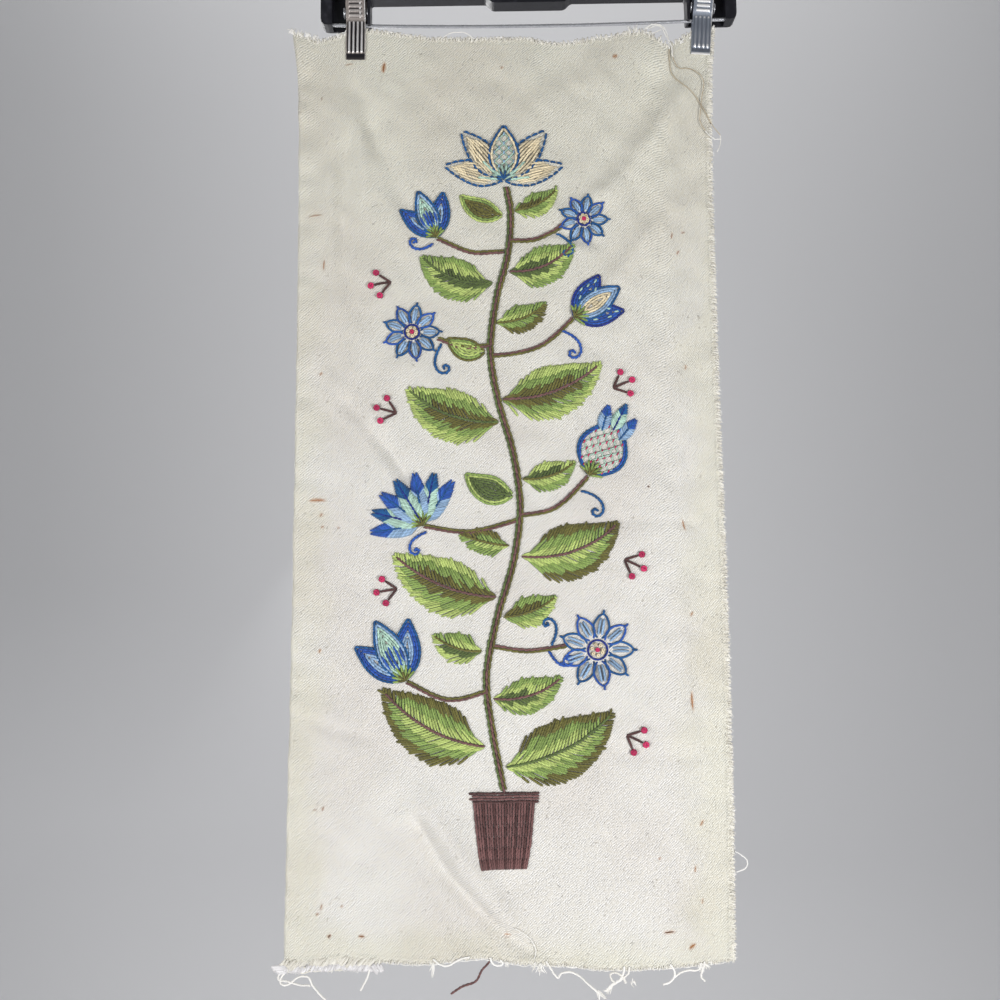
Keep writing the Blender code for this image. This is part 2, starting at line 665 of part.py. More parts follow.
def add_extruded(name, outline, front, back, material):
    """A flat outline in x and z, made thick from front to back."""
    curve = bpy.data.curves.new(name, "CURVE")
    curve.dimensions = "2D"
    curve.fill_mode = "BOTH"
    curve.extrude = 0.5 * (back - front)
    spline = curve.splines.new("POLY")
    spline.points.add(len(outline) - 1)
    for point, place in zip(spline.points, outline):
        point.co = (place[0], place[1], 0.0, 1.0)
    spline.use_cyclic_u = True
    curve.materials.append(material)
    piece = bpy.data.objects.new(name, curve)
    PARTS.objects.link(piece)
    piece.rotation_euler = (math.radians(90.0), 0.0, 0.0)
    piece.location = (0.0, 0.5 * (front + back), 0.0)
    solid = mesh_of(piece)
    solid.data.transform(solid.matrix_world)
    solid.matrix_world = Matrix.Identity(4)
    return solid


def add_block(name, low, high):
    """A block between two corners, to cut with."""
    shape = bmesh.new()
    bmesh.ops.create_cube(shape, size=1.0)
    size = Vector(high) - Vector(low)
    middle = (Vector(high) + Vector(low)) / 2.0
    bmesh.ops.scale(shape, vec=size, verts=shape.verts)
    bmesh.ops.translate(shape, vec=middle, verts=shape.verts)
    return link_mesh(name, shape, BLACK_PLASTIC, CUTTERS)


ROD_END = 0.1845
ROD_STEPS = 16


def rod_height(x):
    """Height of the rod's middle, which sags under the cloth."""
    return ROD_END_HEIGHT - ROD_SAG * (1.0 - (x / ROD_END) ** 2)


rod_path = [(x, 0.0, rod_height(x))
            for x in (ROD_END * (2.0 * step / ROD_STEPS - 1.0) for step in range(ROD_STEPS + 1))]

outline = rounded_outline(HALF_OUTLINE + [(-x, z, radius) for x, z, radius in reversed(HALF_OUTLINE)])
moulding = add_extruded("hanger_moulding", outline, HANGER_FRONT, HANGER_BACK, BLACK_PLASTIC)
for side in (-1.0, 1.0):
    near, far = sorted((side * END_WALL_INNER, side * END_WALL_OUTER))
    recess = add_block("recess", (near, HANGER_FRONT - CUT_PAST, END_BOTTOM - CUT_PAST),
                       (far, RECESS_BACK, RECESS_TOP))
    join_or_cut(moulding, recess, "DIFFERENCE")
    recess.parent = hanger_axis
bore_path = [Vector(point) for point in rod_path]
bore_path[0].x -= PIECE_GAP
bore_path[-1].x += PIECE_GAP
rod_bore = mesh_of(add_wire("rod_bore", bore_path, ROD_RADIUS + PIECE_GAP, BRIGHT_STEEL, 3, CUTTERS))
join_or_cut(moulding, rod_bore, "DIFFERENCE")
rod_bore.parent = hanger_axis
place_under_hanger(moulding)
rod = add_wire("clip_rod", rod_path, ROD_RADIUS, BRIGHT_STEEL, 2)
place_under_hanger(rod)


# The hook: a bent wire whose shank turns in the boss.
SHANK_DEPTH = 0.012
HOOK_START = 196.0
HOOK_SWEEP = 246.0
HOOK_STEPS = 20
hook_centre = -HOOK_RADIUS + HOOK_WIRE_RADIUS
hook_path = []
for step in range(HOOK_STEPS + 1):
    angle = math.radians(HOOK_START - HOOK_SWEEP * step / HOOK_STEPS)
    hook_path.append((HOOK_RADIUS * math.cos(angle), 0.0,
                      hook_centre + HOOK_RADIUS * math.sin(angle)))
hook_path += [(0.0082, 0.0, -0.0405), (0.0030, 0.0, -0.0435), (0.0005, 0.0, -0.0480),
              (0.0, 0.0, -0.0530), (0.0, 0.0, BOSS_TOP - SHANK_DEPTH)]
hook = add_wire("hook", hook_path, HOOK_WIRE_RADIUS, BRIGHT_STEEL, 2)
shank_bore = mesh_of(add_wire("shank_bore", [(0.0, 0.0, BOSS_TOP + CUT_PAST),
                                             (0.0, 0.0, BOSS_TOP - SHANK_DEPTH - PIECE_GAP)],
                              HOOK_WIRE_RADIUS + PIECE_GAP, BRIGHT_STEEL, 3, CUTTERS))
join_or_cut(moulding, shank_bore, "DIFFERENCE")
shank_bore.parent = hanger_axis
place_under_hanger(hook)


# Pinch clips: two pressed jaws seated on the rod and a coil spring between them.
GRIP_GAP = 0.00095
# Half of a jaw's side view, from finger end to lip: height over the rod, inner gap.
JAW_PROFILE = [
    # height, front jaw's inner gap, back jaw's inner gap
    (0.0270, 0.0092, 0.0060),
    (0.0210, 0.0082, 0.0060),
    (0.0165, 0.0070, 0.0059),
    (0.0116, 0.0054, 0.0056),
    (0.0060, 0.0038, 0.0040),
    (0.0032, 0.0016, 0.0016),
    (0.0000, 0.00185, 0.00185),
    (-0.0032, 0.0016, 0.0016),
    (-0.0100, 0.0020, 0.0020),
    (-0.0200, 0.0022, 0.0022),
    (-0.0270, 0.0017, 0.0017),
    (-0.0296, GRIP_GAP, GRIP_GAP),
    (-0.0330, GRIP_GAP, GRIP_GAP),
]
JAW_METAL = 0.0008
ROD_CLEAR = 0.005
ROLL_DEPTH = 0.0010
FLUTES = 4
FLUTE_DEPTH = 0.0006
FLUTE_TOP = 0.006
FLUTE_BOTTOM = -0.028
SPRING_HEIGHT = 0.0116
SPRING_RADIUS = 0.0043
SPRING_WIRE = 0.0006
SPRING_HALF_WIDTH = 0.0100
SPRING_TURNS = 3


def rod_seat(x):
    """Where the tilted rod's middle passes at x in the world, as a point."""
    turn = Matrix.Rotation(-HANGER_TILT, 4, "Y")
    along = x + ROD_END_HEIGHT * math.sin(HANGER_TILT)
    return turn @ Vector((along, 0.0, rod_height(along)))


def add_jaw(name, front_jaw, columns):
    """One pressed jaw about the rod, with upright flutes below the rod on the front one."""
    rows = len(JAW_PROFILE) - 1
    shape = plate_grid(columns, rows)
    side = -1.0 if front_jaw else 1.0
    for vertex in shape.verts:
        row = round((1.0 - vertex.co.y) / 2.0 * rows)
        height, front_gap, back_gap = JAW_PROFILE[row]
        gap = front_gap if front_jaw else back_gap
        across = vertex.co.x
        rolled = 0.0
        if height < -ROD_CLEAR:
            rolled = min(ROLL_DEPTH * ease(0.86, 1.0, abs(across)), gap - GRIP_GAP)
        ridge = 0.0
        if front_jaw and FLUTE_BOTTOM < height < FLUTE_TOP and abs(across) < 0.85:
            ridge = FLUTE_DEPTH * abs(math.sin(0.5 * math.pi * FLUTES * (across / 0.8 + 1.0)))
        distance = gap + ridge - rolled
        if vertex.co.z > 0.5:
            distance += JAW_METAL
        vertex.co = Vector((0.5 * CLIP_WIDTH * across, side * distance, height))
    bmesh.ops.recalc_face_normals(shape, faces=shape.faces)
    return link_mesh(name, shape, BRIGHT_STEEL)


def add_spring(name):
    """The coil between the jaws, its end turns standing out past their sides."""
    points = []
    steps = 9 * SPRING_TURNS
    for step in range(steps + 1):
        angle = math.tau * SPRING_TURNS * step / steps
        points.append((SPRING_HALF_WIDTH * (2.0 * step / steps - 1.0),
                       SPRING_RADIUS * math.cos(angle),
                       SPRING_HEIGHT + SPRING_RADIUS * math.sin(angle)))
    return add_wire(name, points, SPRING_WIRE, BRIGHT_STEEL, 2)


for side, clip_x, lean in CLIPS:
    pieces = [add_jaw("clip_" + side + "_front_jaw", True, 16),
              add_jaw("clip_" + side + "_back_jaw", False, 4),
              add_spring("clip_" + side + "_spring")]
    for piece in pieces:
        piece.location = rod_seat(clip_x)
        piece.rotation_euler = (0.0, math.radians(lean), 0.0)
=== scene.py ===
"""The finished look of a crewel embroidery panel on a clip hanger, over its CAD frame.

The cloth hangs as a fine sheet on its solid's folds, every motif is worked in yarn
stitch by stitch, and the hanger, rod, hook and clips get their real finish. Lengths
are in metres. +Z is up, -Y is the worked face, the origin is in the hook's crown.
"""

import math

import bmesh
import bpy
import numpy as np
from mathutils import Matrix, Vector


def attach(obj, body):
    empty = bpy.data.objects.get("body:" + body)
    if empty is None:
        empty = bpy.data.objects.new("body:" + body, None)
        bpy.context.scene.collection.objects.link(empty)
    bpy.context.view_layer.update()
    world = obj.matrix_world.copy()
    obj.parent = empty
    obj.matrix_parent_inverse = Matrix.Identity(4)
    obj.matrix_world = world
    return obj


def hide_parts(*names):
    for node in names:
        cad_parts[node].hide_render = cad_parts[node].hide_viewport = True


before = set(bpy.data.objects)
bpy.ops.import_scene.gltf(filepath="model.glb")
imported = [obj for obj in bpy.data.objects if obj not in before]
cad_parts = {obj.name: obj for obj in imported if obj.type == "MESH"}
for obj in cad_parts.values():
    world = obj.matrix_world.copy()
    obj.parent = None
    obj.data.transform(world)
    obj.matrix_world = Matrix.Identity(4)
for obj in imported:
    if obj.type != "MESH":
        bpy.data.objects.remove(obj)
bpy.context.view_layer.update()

# Camera. It stands in front of the panel, a little below its middle, and is tipped up
# a few degrees.
CAMERA_PLACE = (-0.0245, -0.835, -0.608)
CAMERA_PITCH = math.radians(4.8)
LENS = 34.56
SENSOR = 36.0
camera_data = bpy.data.cameras.new("camera")
camera_data.lens = LENS
camera_data.sensor_width = SENSOR
camera = bpy.data.objects.new("camera", camera_data)
camera.location = CAMERA_PLACE
camera.rotation_euler = (math.radians(90.0) + CAMERA_PITCH, 0.0, 0.0)
bpy.context.scene.collection.objects.link(camera)
bpy.context.scene.camera = camera

# The cloth is one length of unbleached cotton twill, cut raw all round and held at
# its top edge by two clips. Its soft creases come from the clips, from lying folded
# and from the pull of the wool, and its margins have yellowed.
FLAT_WIDTH = 0.381
FLAT_LENGTH = 0.813
CLOTH_THICKNESS = 0.0009
CLOTH_COLUMNS = 146
CLOTH_ROWS = 306
LEFT_EDGE_X = [(0.0, -0.2136), (0.02, -0.2105), (0.05, -0.2078), (0.12, -0.2058),
               (0.31, -0.2040), (0.59, -0.2042), (1.0, -0.2049)]
RIGHT_EDGE_X = [(0.0, 0.1702), (0.05, 0.1668), (0.12, 0.1652), (0.2, 0.1650),
                (0.39, 0.1673), (0.59, 0.1712), (0.84, 0.1739), (1.0, 0.1729)]
TOP_EDGE_Z = [(0.0, -0.1115), (0.063, -0.1205), (0.129, -0.1120), (0.152, -0.1095),
              (0.19, -0.1093), (0.24, -0.1120), (0.315, -0.1165), (0.446, -0.1175),
              (0.56, -0.1160), (0.61, -0.1215), (0.66, -0.1215), (0.73, -0.1160),
              (0.824, -0.1110), (0.859, -0.1150), (0.893, -0.1265), (0.926, -0.1150),
              (0.966, -0.1070), (1.0, -0.1075)]
BOTTOM_EDGE_Z = [(0.0, -0.9265), (0.12, -0.9268), (0.242, -0.9266), (0.33, -0.9252),
                 (0.38, -0.9222), (0.45, -0.9220), (0.517, -0.9276), (0.69, -0.9299),
                 (0.91, -0.9299), (1.0, -0.9268)]
FOLDS = [
    # x0, z0, x1, z1, half_width, depth
    (-0.161, -0.151, -0.145, -0.198, 0.0075, 0.0036),
    (-0.138, -0.211, -0.110, -0.269, 0.0085, 0.0034),
    (-0.152, -0.176, -0.146, -0.262, 0.0075, -0.0030),
    (-0.164, -0.223, -0.166, -0.287, 0.0070, 0.0028),
    (-0.164, -0.308, -0.156, -0.360, 0.0090, 0.0020),
    (-0.206, -0.167, -0.186, -0.123, 0.0070, 0.0030),
    (0.143, -0.165, 0.115, -0.208, 0.0095, -0.0048),
    (0.100, -0.229, 0.075, -0.263, 0.0100, -0.0040),
    (0.126, -0.149, 0.060, -0.248, 0.0110, 0.0024),
    (0.068, -0.260, 0.018, -0.312, 0.0085, -0.0030),
    (0.113, -0.293, 0.066, -0.357, 0.0085, -0.0030),
    (-0.159, -0.454, -0.132, -0.483, 0.0065, 0.0036),
    (-0.121, -0.496, -0.098, -0.528, 0.0060, 0.0054),
    (-0.093, -0.817, -0.072, -0.851, 0.0070, 0.0080),
    (-0.063, -0.863, -0.041, -0.886, 0.0070, 0.0086),
    (-0.081, -0.808, -0.023, -0.884, 0.0090, -0.0044),
    (-0.106, -0.826, -0.050, -0.902, 0.0150, 0.0056),
    (-0.029, -0.897, -0.001, -0.917, 0.0065, 0.0062),
    (-0.195, -0.727, -0.139, -0.742, 0.0060, 0.0018),
    (0.054, -0.555, 0.143, -0.558, 0.0055, 0.0014),
    (0.079, -0.753, 0.131, -0.757, 0.0090, 0.0022),
    (0.068, -0.826, 0.087, -0.847, 0.0060, 0.0026),
    (0.024, -0.299, 0.056, -0.308, 0.0055, 0.0028),
    (-0.171, -0.150, -0.185, -0.420, 0.0120, -0.0024),
    (0.118, -0.128, 0.010, -0.190, 0.0180, -0.0020),
    (0.166, -0.160, 0.150, -0.480, 0.0110, -0.0022),
    (-0.170, -0.420, -0.158, -0.900, 0.0200, 0.0026),
    (0.112, -0.560, 0.124, -0.900, 0.0220, -0.0026),
    (0.152, -0.620, 0.150, -0.900, 0.0120, 0.0020),
]
FOLD_END = 1.6
BELLY = 0.0055
BELLY_HALF_WIDTH = 0.190
BELLY_TOP = -0.125
BELLY_FULL = -0.330
HEM_WAVE = 0.0036
HEM_WAVE_LENGTH = 0.145
HEM_WAVE_SHIFT = 0.030
HEM_WAVE_START = -0.640
GRIP_HEIGHT = -0.118
GRIP_FLAT = 0.026
GRIP_EASE = 0.064
# Shallow cockles all over the cloth, and short ripples beside its cut edges.
COCKLES = [
    # heading in degrees, wave length, height, phase
    (8, 0.061, 0.00046, 0.4),
    (52, 0.047, 0.00040, 2.1),
    (97, 0.083, 0.00020, 4.0),
    (137, 0.039, 0.00030, 1.3),
    (164, 0.055, 0.00036, 5.2),
    (58, 0.028, 0.00022, 3.3),
    (20, 0.022, 0.00019, 0.9),
    (28, 0.019, 0.00018, 2.7),
    (151, 0.033, 0.00028, 5.0),
    (6, 0.014, 0.00012, 1.9),
]
COCKLE_WANDER = 1.4
RIPPLE = 0.0009
RIPPLE_REACH = 0.010
RIPPLE_LENGTH = 0.031
RIPPLE_WANDER = 0.087
RIPPLED_SIDES_X = (-0.2045, 0.1705)
RIPPLED_ENDS_Z = (-0.1165, -0.928)
CORNER_EASE = 0.012
CLIPS = [
    # side, x, lean in degrees
    ("left", -0.1554, 0.0),
    ("right", 0.1592, 3.4),
]


def ease(low, high, value):
    """Rises smoothly from 0 at low to 1 at high."""
    share = np.clip((value - low) / (high - low), 0.0, 1.0)
    return share * share * (3.0 - 2.0 * share)


def edge_at(rows, share):
    """Place of a cut edge at a share of its length, eased round the table's corners."""
    shares, places = zip(*rows)
    near = [np.interp(share + shift, shares, places) for shift in np.linspace(-CORNER_EASE, CORNER_EASE, 5)]
    return np.mean(near, axis=0)


def cloth_place(s, t):
    """Where the cloth point at s across and t down lies in x and z."""
    left, right = edge_at(LEFT_EDGE_X, t), edge_at(RIGHT_EDGE_X, t)
    top, bottom = edge_at(TOP_EDGE_Z, s), edge_at(BOTTOM_EDGE_Z, s)
    return left + (right - left) * s, top + (bottom - top) * t


def ripple(from_edge, along_edge):
    """Small waves that die away from a cut edge."""
    wander = 1.6 * np.sin(math.tau * along_edge / RIPPLE_WANDER)
    wave = np.sin(math.tau * along_edge / RIPPLE_LENGTH + wander)
    return RIPPLE * wave * np.exp(-np.abs(from_edge) / RIPPLE_REACH)


def cloth_depth(x, z):
    """Depth of the middle of the cloth at x, z. The clips hold it flat in their jaws."""
    depth = np.zeros_like(x)
    for x0, z0, x1, z1, half_width, fold in FOLDS:
        length = math.hypot(x1 - x0, z1 - z0)
        along = ((x - x0) * (x1 - x0) + (z - z0) * (z1 - z0)) / length
        across = ((x - x0) * (z1 - z0) - (z - z0) * (x1 - x0)) / length
        past = np.maximum(0.0, np.maximum(-along, along - length))
        depth += fold * np.exp(-(across / half_width) ** 2 - (past / (FOLD_END * half_width)) ** 2)
    middle = 0.5 * (LEFT_EDGE_X[3][1] + RIGHT_EDGE_X[3][1])
    belly = np.maximum(0.0, 1.0 - ((x - middle) / BELLY_HALF_WIDTH) ** 2)
    depth -= BELLY * belly * ease(BELLY_TOP, BELLY_FULL, z)
    hem = ease(HEM_WAVE_START, BOTTOM_EDGE_Z[0][1], z)
    depth += HEM_WAVE * hem * np.sin(math.tau * (x + HEM_WAVE_SHIFT) / HEM_WAVE_LENGTH)
    for heading, length, height, phase in COCKLES:
        way = x * math.cos(math.radians(heading)) + z * math.sin(math.radians(heading))
        side = z * math.cos(math.radians(heading)) - x * math.sin(math.radians(heading))
        wander = COCKLE_WANDER * np.sin(math.tau * side / (2.3 * length) + 2.0 * phase)
        depth += height * np.sin(math.tau * way / length + phase + wander)
    for edge_x in RIPPLED_SIDES_X:
        depth += ripple(x - edge_x, z)
    for edge_z in RIPPLED_ENDS_Z:
        depth += ripple(z - edge_z, x)
    for _, clip_x, _ in CLIPS:
        depth *= ease(GRIP_FLAT, GRIP_EASE, np.hypot(x - clip_x, z - GRIP_HEIGHT))
    return depth


def cloth_front(x, z):
    """Depth of the cloth's worked face at x, z."""
    return cloth_depth(x, z) - 0.5 * CLOTH_THICKNESS


def add_node(kind, sockets, tree=None, **settings):
    """A shader node in a tree, or else in the tree of the sockets it reads. Returns its outputs."""
    linked = {key: value for key, value in sockets.items() if isinstance(value, bpy.types.NodeSocket)}
    if tree is None:
        tree = next(iter(linked.values())).id_data
    made = tree.nodes.new("ShaderNode" + kind)
    for name, value in settings.items():
        setattr(made, name, value)
    for key, value in sockets.items():
        if key in linked:
            tree.links.new(value, made.inputs[key])
        else:
            made.inputs[key].default_value = value
    return made.outputs


def maths(operation, *terms):
    """The result of a Math node."""
    return add_node("Math", dict(enumerate(terms)), operation=operation)[0]


def times(first, *others):
    """The product of two or more values."""
    for other in others:
        first = maths("MULTIPLY", first, other)
    return first


def plus(first, second):
    """The sum of two values."""
    return maths("ADD", first, second)


def minus(first, second):
    """The first value less the second."""
    return maths("SUBTRACT", first, second)


def blend(factor, low, high, mode="MIX"):
    """A colour mix of low and high by a factor."""
    return add_node("Mix", {0: factor, 6: low, 7: high}, data_type="RGBA", blend_type=mode)[2]


def ramp(value, low, high, start=0.0, end=1.0):
    """A value mapped smoothly from low..high to start..end."""
    sockets = {0: value, 1: low, 2: high, 3: start, 4: end}
    return add_node("MapRange", sockets, interpolation_type="SMOOTHSTEP")[0]


def noise(vector, scale, detail=2.0):
    """The value of a noise texture."""
    return add_node("TexNoise", {"Vector": vector, "Scale": scale, "Detail": detail})[0]


def dimmed(colour, share):
    """A colour times a share."""
    return add_node("VectorMath", {0: colour, "Scale": share}, operation="SCALE")[0]


def apart(vector):
    """The three parts of a vector."""
    return add_node("SeparateXYZ", {0: vector})


def together(*parts):
    """A vector of two or three parts."""
    return add_node("CombineXYZ", dict(enumerate(parts)))[0]


def own_place(tree):
    """Where a point lies on its piece."""
    return add_node("TexCoord", {}, tree)["Object"]


def own_map(tree, name):
    """Where a point lies on a UV map of its piece."""
    return add_node("UVMap", {}, tree, uv_map=name)[0]


def feed(result, socket):
    """Links a result to a socket."""
    result.id_data.links.new(result, socket)


def new_group(name, inputs, outputs):
    """An empty shader group with named sockets, and the ends to wire it between."""
    group = bpy.data.node_groups.new(name, "ShaderNodeTree")
    for label, kind in inputs:
        group.interface.new_socket(name=label, in_out="INPUT", socket_type="NodeSocket" + kind)
    for label, kind in outputs:
        group.interface.new_socket(name=label, in_out="OUTPUT", socket_type="NodeSocket" + kind)
    return group, group.nodes.new("NodeGroupInput"), group.nodes.new("NodeGroupOutput")


def dyed(red, green, blue):
    """A dye or paint read off as 0 to 255, made linear."""
    return (*(((part / 255.0 + 0.055) / 1.055) ** 2.4 for part in (red, green, blue)), 1.0)


def new_finish(name, roughness, sheen=0.0, metallic=0.0):
    """A material with plain values on its shader. Returns it, its tree and its shader."""
    finish = bpy.data.materials.new(name)
    finish.use_nodes = True
    shader = finish.node_tree.nodes["Principled BSDF"]
    shader.inputs["Roughness"].default_value = roughness
    shader.inputs["Sheen Weight"].default_value = sheen
    shader.inputs["Metallic"].default_value = metallic
    return finish, finish.node_tree, shader


# A two-and-one twill: each warp yarn floats over two weft yarns, one step on from
# the next, so that the floats climb to the right.
TWILL_PITCH = 0.00078
YARN_WANDER = 0.0016
YARN_WANDER_SCALE = 260.0
SLUB_SCALE = 900.0
WALE_BREAK = 0.28
twill_weave, given, found = new_group("twill_weave", [("Vector", "Vector"), ("Pitch", "Float")],
                                      [("Height", "Float"), ("Tone", "Float"), ("Shade", "Float")])
flat, pitch = given.outputs[:2]
wander = add_node("TexNoise", {"Vector": flat, "Scale": YARN_WANDER_SCALE, "Detail": 2.0})[1]
wandered = add_node("VectorMath", {0: wander, 1: (YARN_WANDER,) * 3, 2: flat}, operation="MULTIPLY_ADD")[0]
warp_at, weft_at = (maths("DIVIDE", way, pitch) for way in apart(wandered)[:2])
warp_part, weft_part = (maths("FRACT", at) for at in (warp_at, weft_at))
step = maths("FLOORED_MODULO", plus(maths("FLOOR", warp_at), maths("FLOOR", weft_at)), 3.0)
warp_over = maths("LESS_THAN", step, 1.5)


def crowned(part, sharpness):
    """1 in the middle of a yarn or float and 0 at its two sides."""
    side = maths("ABSOLUTE", maths("MULTIPLY_ADD", part, 2.0, -1.0))
    return minus(1.0, maths("POWER", side, sharpness))


warp_height = times(crowned(warp_part, 2.0), crowned(times(plus(step, weft_part), 0.5), 4.0))
weft_height = times(crowned(weft_part, 2.0), crowned(warp_part, 4.0), 0.7)
yarn_height = add_node("Mix", {0: warp_over, 2: weft_height, 3: warp_height})[0]
yarn_slub = noise(flat, SLUB_SCALE, 0.0)
wale_at = maths("DIVIDE", plus(warp_at, weft_at), 3.0)
wale = maths("MULTIPLY_ADD", maths("SINE", times(wale_at, math.tau)), 0.5, 0.5)
wale_piece = together(maths("FLOOR", wale_at), maths("FLOOR", times(minus(warp_at, weft_at), WALE_BREAK)))
wale_tone = add_node("TexWhiteNoise", {"Vector": wale_piece}, noise_dimensions="2D")[0]
# Painted shade: the hollows between the wales, in pieces of random depth, and the low points between the
# yarns darken the twill's colour through Shade.
wale_hollow_shade = times(ramp(wale, 0.15, 0.75, 0.27, 0.0), maths("MULTIPLY_ADD", wale_tone, 1.7, 0.05))
feed(plus(times(yarn_height, 0.2), times(wale, 0.8)), found.inputs["Height"])
feed(plus(times(yarn_slub, 0.7), times(wale_tone, 0.3)), found.inputs["Tone"])
feed(times(minus(1.0, wale_hollow_shade), ramp(yarn_height, 0.0, 0.6, 0.90, 1.0)), found.inputs["Shade"])

TWILL_LIGHT = dyed(255, 253, 249)
TWILL_DARK = dyed(228, 224, 215)
TWILL_YELLOWED = dyed(249, 249, 236)
TWILL_SOILED = dyed(236, 229, 226)
SEED_SPECK = dyed(150, 142, 130)
STITCHED_AREA_MIDDLE = (-0.0215, 0.0, -0.5310)
STITCHED_AREA_HALF = {0: 0.160, 2: 0.375}
MARGIN_EASE = 0.020
MARGIN_WANDER_SCALE = 18.0
WARMER_FROM = -0.60
WARMER_TO = -0.14
SOIL_SCALE = 9.0
SPECK_SCALE = 420.0
TWILL_BUMP = 0.00022
GAP_PITCH = 0.0023
GAP_INSET = 0.0052


def pulled_gaps(inwards, along, strength):
    """Painted shade in a row of gaps beside a ravelled edge, where its yarns have drawn apart."""
    row = minus(1.0, ramp(maths("ABSOLUTE", minus(inwards, GAP_INSET)), 0.0005, 0.0014))
    turn = maths("SINE", times(plus(along, times(inwards, 0.7)), math.tau / GAP_PITCH))
    uneven = ramp(noise(together(along, inwards), 160.0), 0.3, 0.7)
    return times(row, ramp(turn, 0.1, 0.8), uneven, strength)


def weave_colour(tree):
    """The twill's colour and height on a piece with a weave map, its colour carrying painted shade in the
    weave's hollows and in the gap rows beside the edges.
    """
    flat, place = own_map(tree, "weave"), own_place(tree)
    height, tone, shade = add_node("Group", {"Vector": flat, "Pitch": TWILL_PITCH}, node_tree=twill_weave)
    colour = blend(ramp(tone, 0.30, 0.70), TWILL_DARK, TWILL_LIGHT)
    wander = maths("MULTIPLY_ADD", noise(place, MARGIN_WANDER_SCALE), 0.07, -0.035)
    from_middle = apart(add_node("VectorMath", {0: place, 1: STITCHED_AREA_MIDDLE}, operation="SUBTRACT")[0])
    outside = [ramp(plus(maths("ABSOLUTE", from_middle[axis]), wander),
                    half - MARGIN_EASE, half + MARGIN_EASE) for axis, half in STITCHED_AREA_HALF.items()]
    # The cloth is tinted warmer and a little darker towards its top.
    warmer_upwards = ramp(apart(place)[2], WARMER_FROM, WARMER_TO, 0.0, 0.70)
    yellowed = maths("MAXIMUM", times(maths("MAXIMUM", *outside), 0.65), warmer_upwards)
    colour = blend(yellowed, colour, blend(1.0, colour, TWILL_YELLOWED, "MULTIPLY"))
    patches = ramp(noise(place, SOIL_SCALE, 1.0), 0.35, 0.75, 0.0, 0.35)
    colour = blend(patches, colour, blend(1.0, colour, TWILL_SOILED, "MULTIPLY"))
    colour = blend(ramp(noise(place, SPECK_SCALE, 0.0), 0.76, 0.82, 0.0, 0.45), colour, SEED_SPECK)
    # Painted shade in the gap rows beside the right, top and bottom edges.
    across, down = apart(flat)[:2]
    beside_right = pulled_gaps(minus(FLAT_WIDTH, across), down, 0.48)
    below_top = pulled_gaps(down, across, 0.22)
    above_hem = pulled_gaps(minus(FLAT_LENGTH, down), across, 0.34)
    gap_shade = maths("MAXIMUM", beside_right, maths("MAXIMUM", below_top, above_hem))
    return dimmed(colour, times(shade, minus(1.0, gap_shade))), height


def raise_surface(shader, height, distance, strength=1.0):
    """Bumps a shader's normal by a height."""
    bump = add_node("Bump", {"Height": height, "Distance": distance, "Strength": strength})
    feed(bump[0], shader.inputs["Normal"])


twill, twill_tree, twill_shader = new_finish("unbleached_twill", 0.93, sheen=0.12)
twill_colour, twill_height = weave_colour(twill_tree)
feed(twill_colour, twill_shader.inputs["Base Color"])
raise_surface(twill_shader, twill_height, TWILL_BUMP)


def add_piece(name, mesh, slot, *nodes):
    """Links a finished mesh or curve as a piece on the body, standing for CAD nodes."""
    piece = bpy.data.objects.new(name, mesh)
    bpy.context.scene.collection.objects.link(piece)
    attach(piece, "root")
    if nodes:
        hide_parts(*nodes)
    return piece


def mesh_of(name, shape):
    """A finished shape as a smooth mesh."""
    for face in shape.faces:
        face.smooth = True
    mesh = bpy.data.meshes.new(name)
    shape.to_mesh(mesh)
    shape.free()
    return mesh


def lay_sheet(name, columns, rows, place):
    """A mesh of a grid whose points place(s, t) puts in x, y and z, with a map and maybe a tone of painted
    light and shade.
    """
    shape = bmesh.new()
    bmesh.ops.create_grid(shape, x_segments=columns, y_segments=rows, size=1.0)
    grid = np.array([vertex.co for vertex in shape.verts])
    places, weave_map, *dark = place((grid[:, 0] + 1.0) / 2.0, (1.0 - grid[:, 1]) / 2.0)
    weave_layer = shape.loops.layers.uv.new("weave")
    for vertex in shape.verts:
        vertex.co = places[vertex.index]
    for face in shape.faces:
        for loop in face.loops:
            loop[weave_layer].uv = weave_map[loop.vert.index]
    mesh = mesh_of(name, shape)
    for tone in dark:
        mesh.attributes.new("dark", "FLOAT", "POINT").data.foreach_set("value", tone)
    return mesh


def thicken(piece, thickness):
    """Gives a sheet its thickness, half on each side."""
    wall = piece.modifiers.new("thickness", "SOLIDIFY")
    wall.thickness = thickness
    wall.offset = 0.0


def hung(s, t):
    """Places of the whole cloth, and where each lies on the flat weave."""
    x, z = cloth_place(s, t)
    return np.stack((x, cloth_depth(x, z), z), axis=1), np.stack((s * FLAT_WIDTH, t * FLAT_LENGTH), axis=1)


cloth_mesh = lay_sheet("hung_cloth", CLOTH_COLUMNS, CLOTH_ROWS, hung)
cloth_mesh.materials.append(twill)
cloth = add_piece("hung_cloth", cloth_mesh, "twill_cloth", "cloth")
thicken(cloth, CLOTH_THICKNESS)

# Frayed edges. The twill was never hemmed, so its yarns have ravelled: teeth of
# short ends along the top, the bottom and the right side, a thick tangle at the
# lower left, and only stray fibres on the clean left edge.
FACING = np.array([0.0, -1.0, 0.0])
# Fullness along a yarn end, in yarn radii. The last value depends on how blunt it is.
RAVEL_FULLNESS = (0.45, 0.95, 1.1, 1.05)
TUFT_FULLNESS = (0.9, 1.1, 1.1, 1.0)
EDGE_YARN_POINTS = 90


def stretched(vector, scale):
    """A vector scaled by a different amount on each axis."""
    return add_node("VectorMath", {0: vector, 1: scale}, operation="MULTIPLY")[0]


def carried(tree, name):
    """A value that the piece carries from point to point."""
    return add_node("Attribute", {}, tree, attribute_name=name)["Fac"]


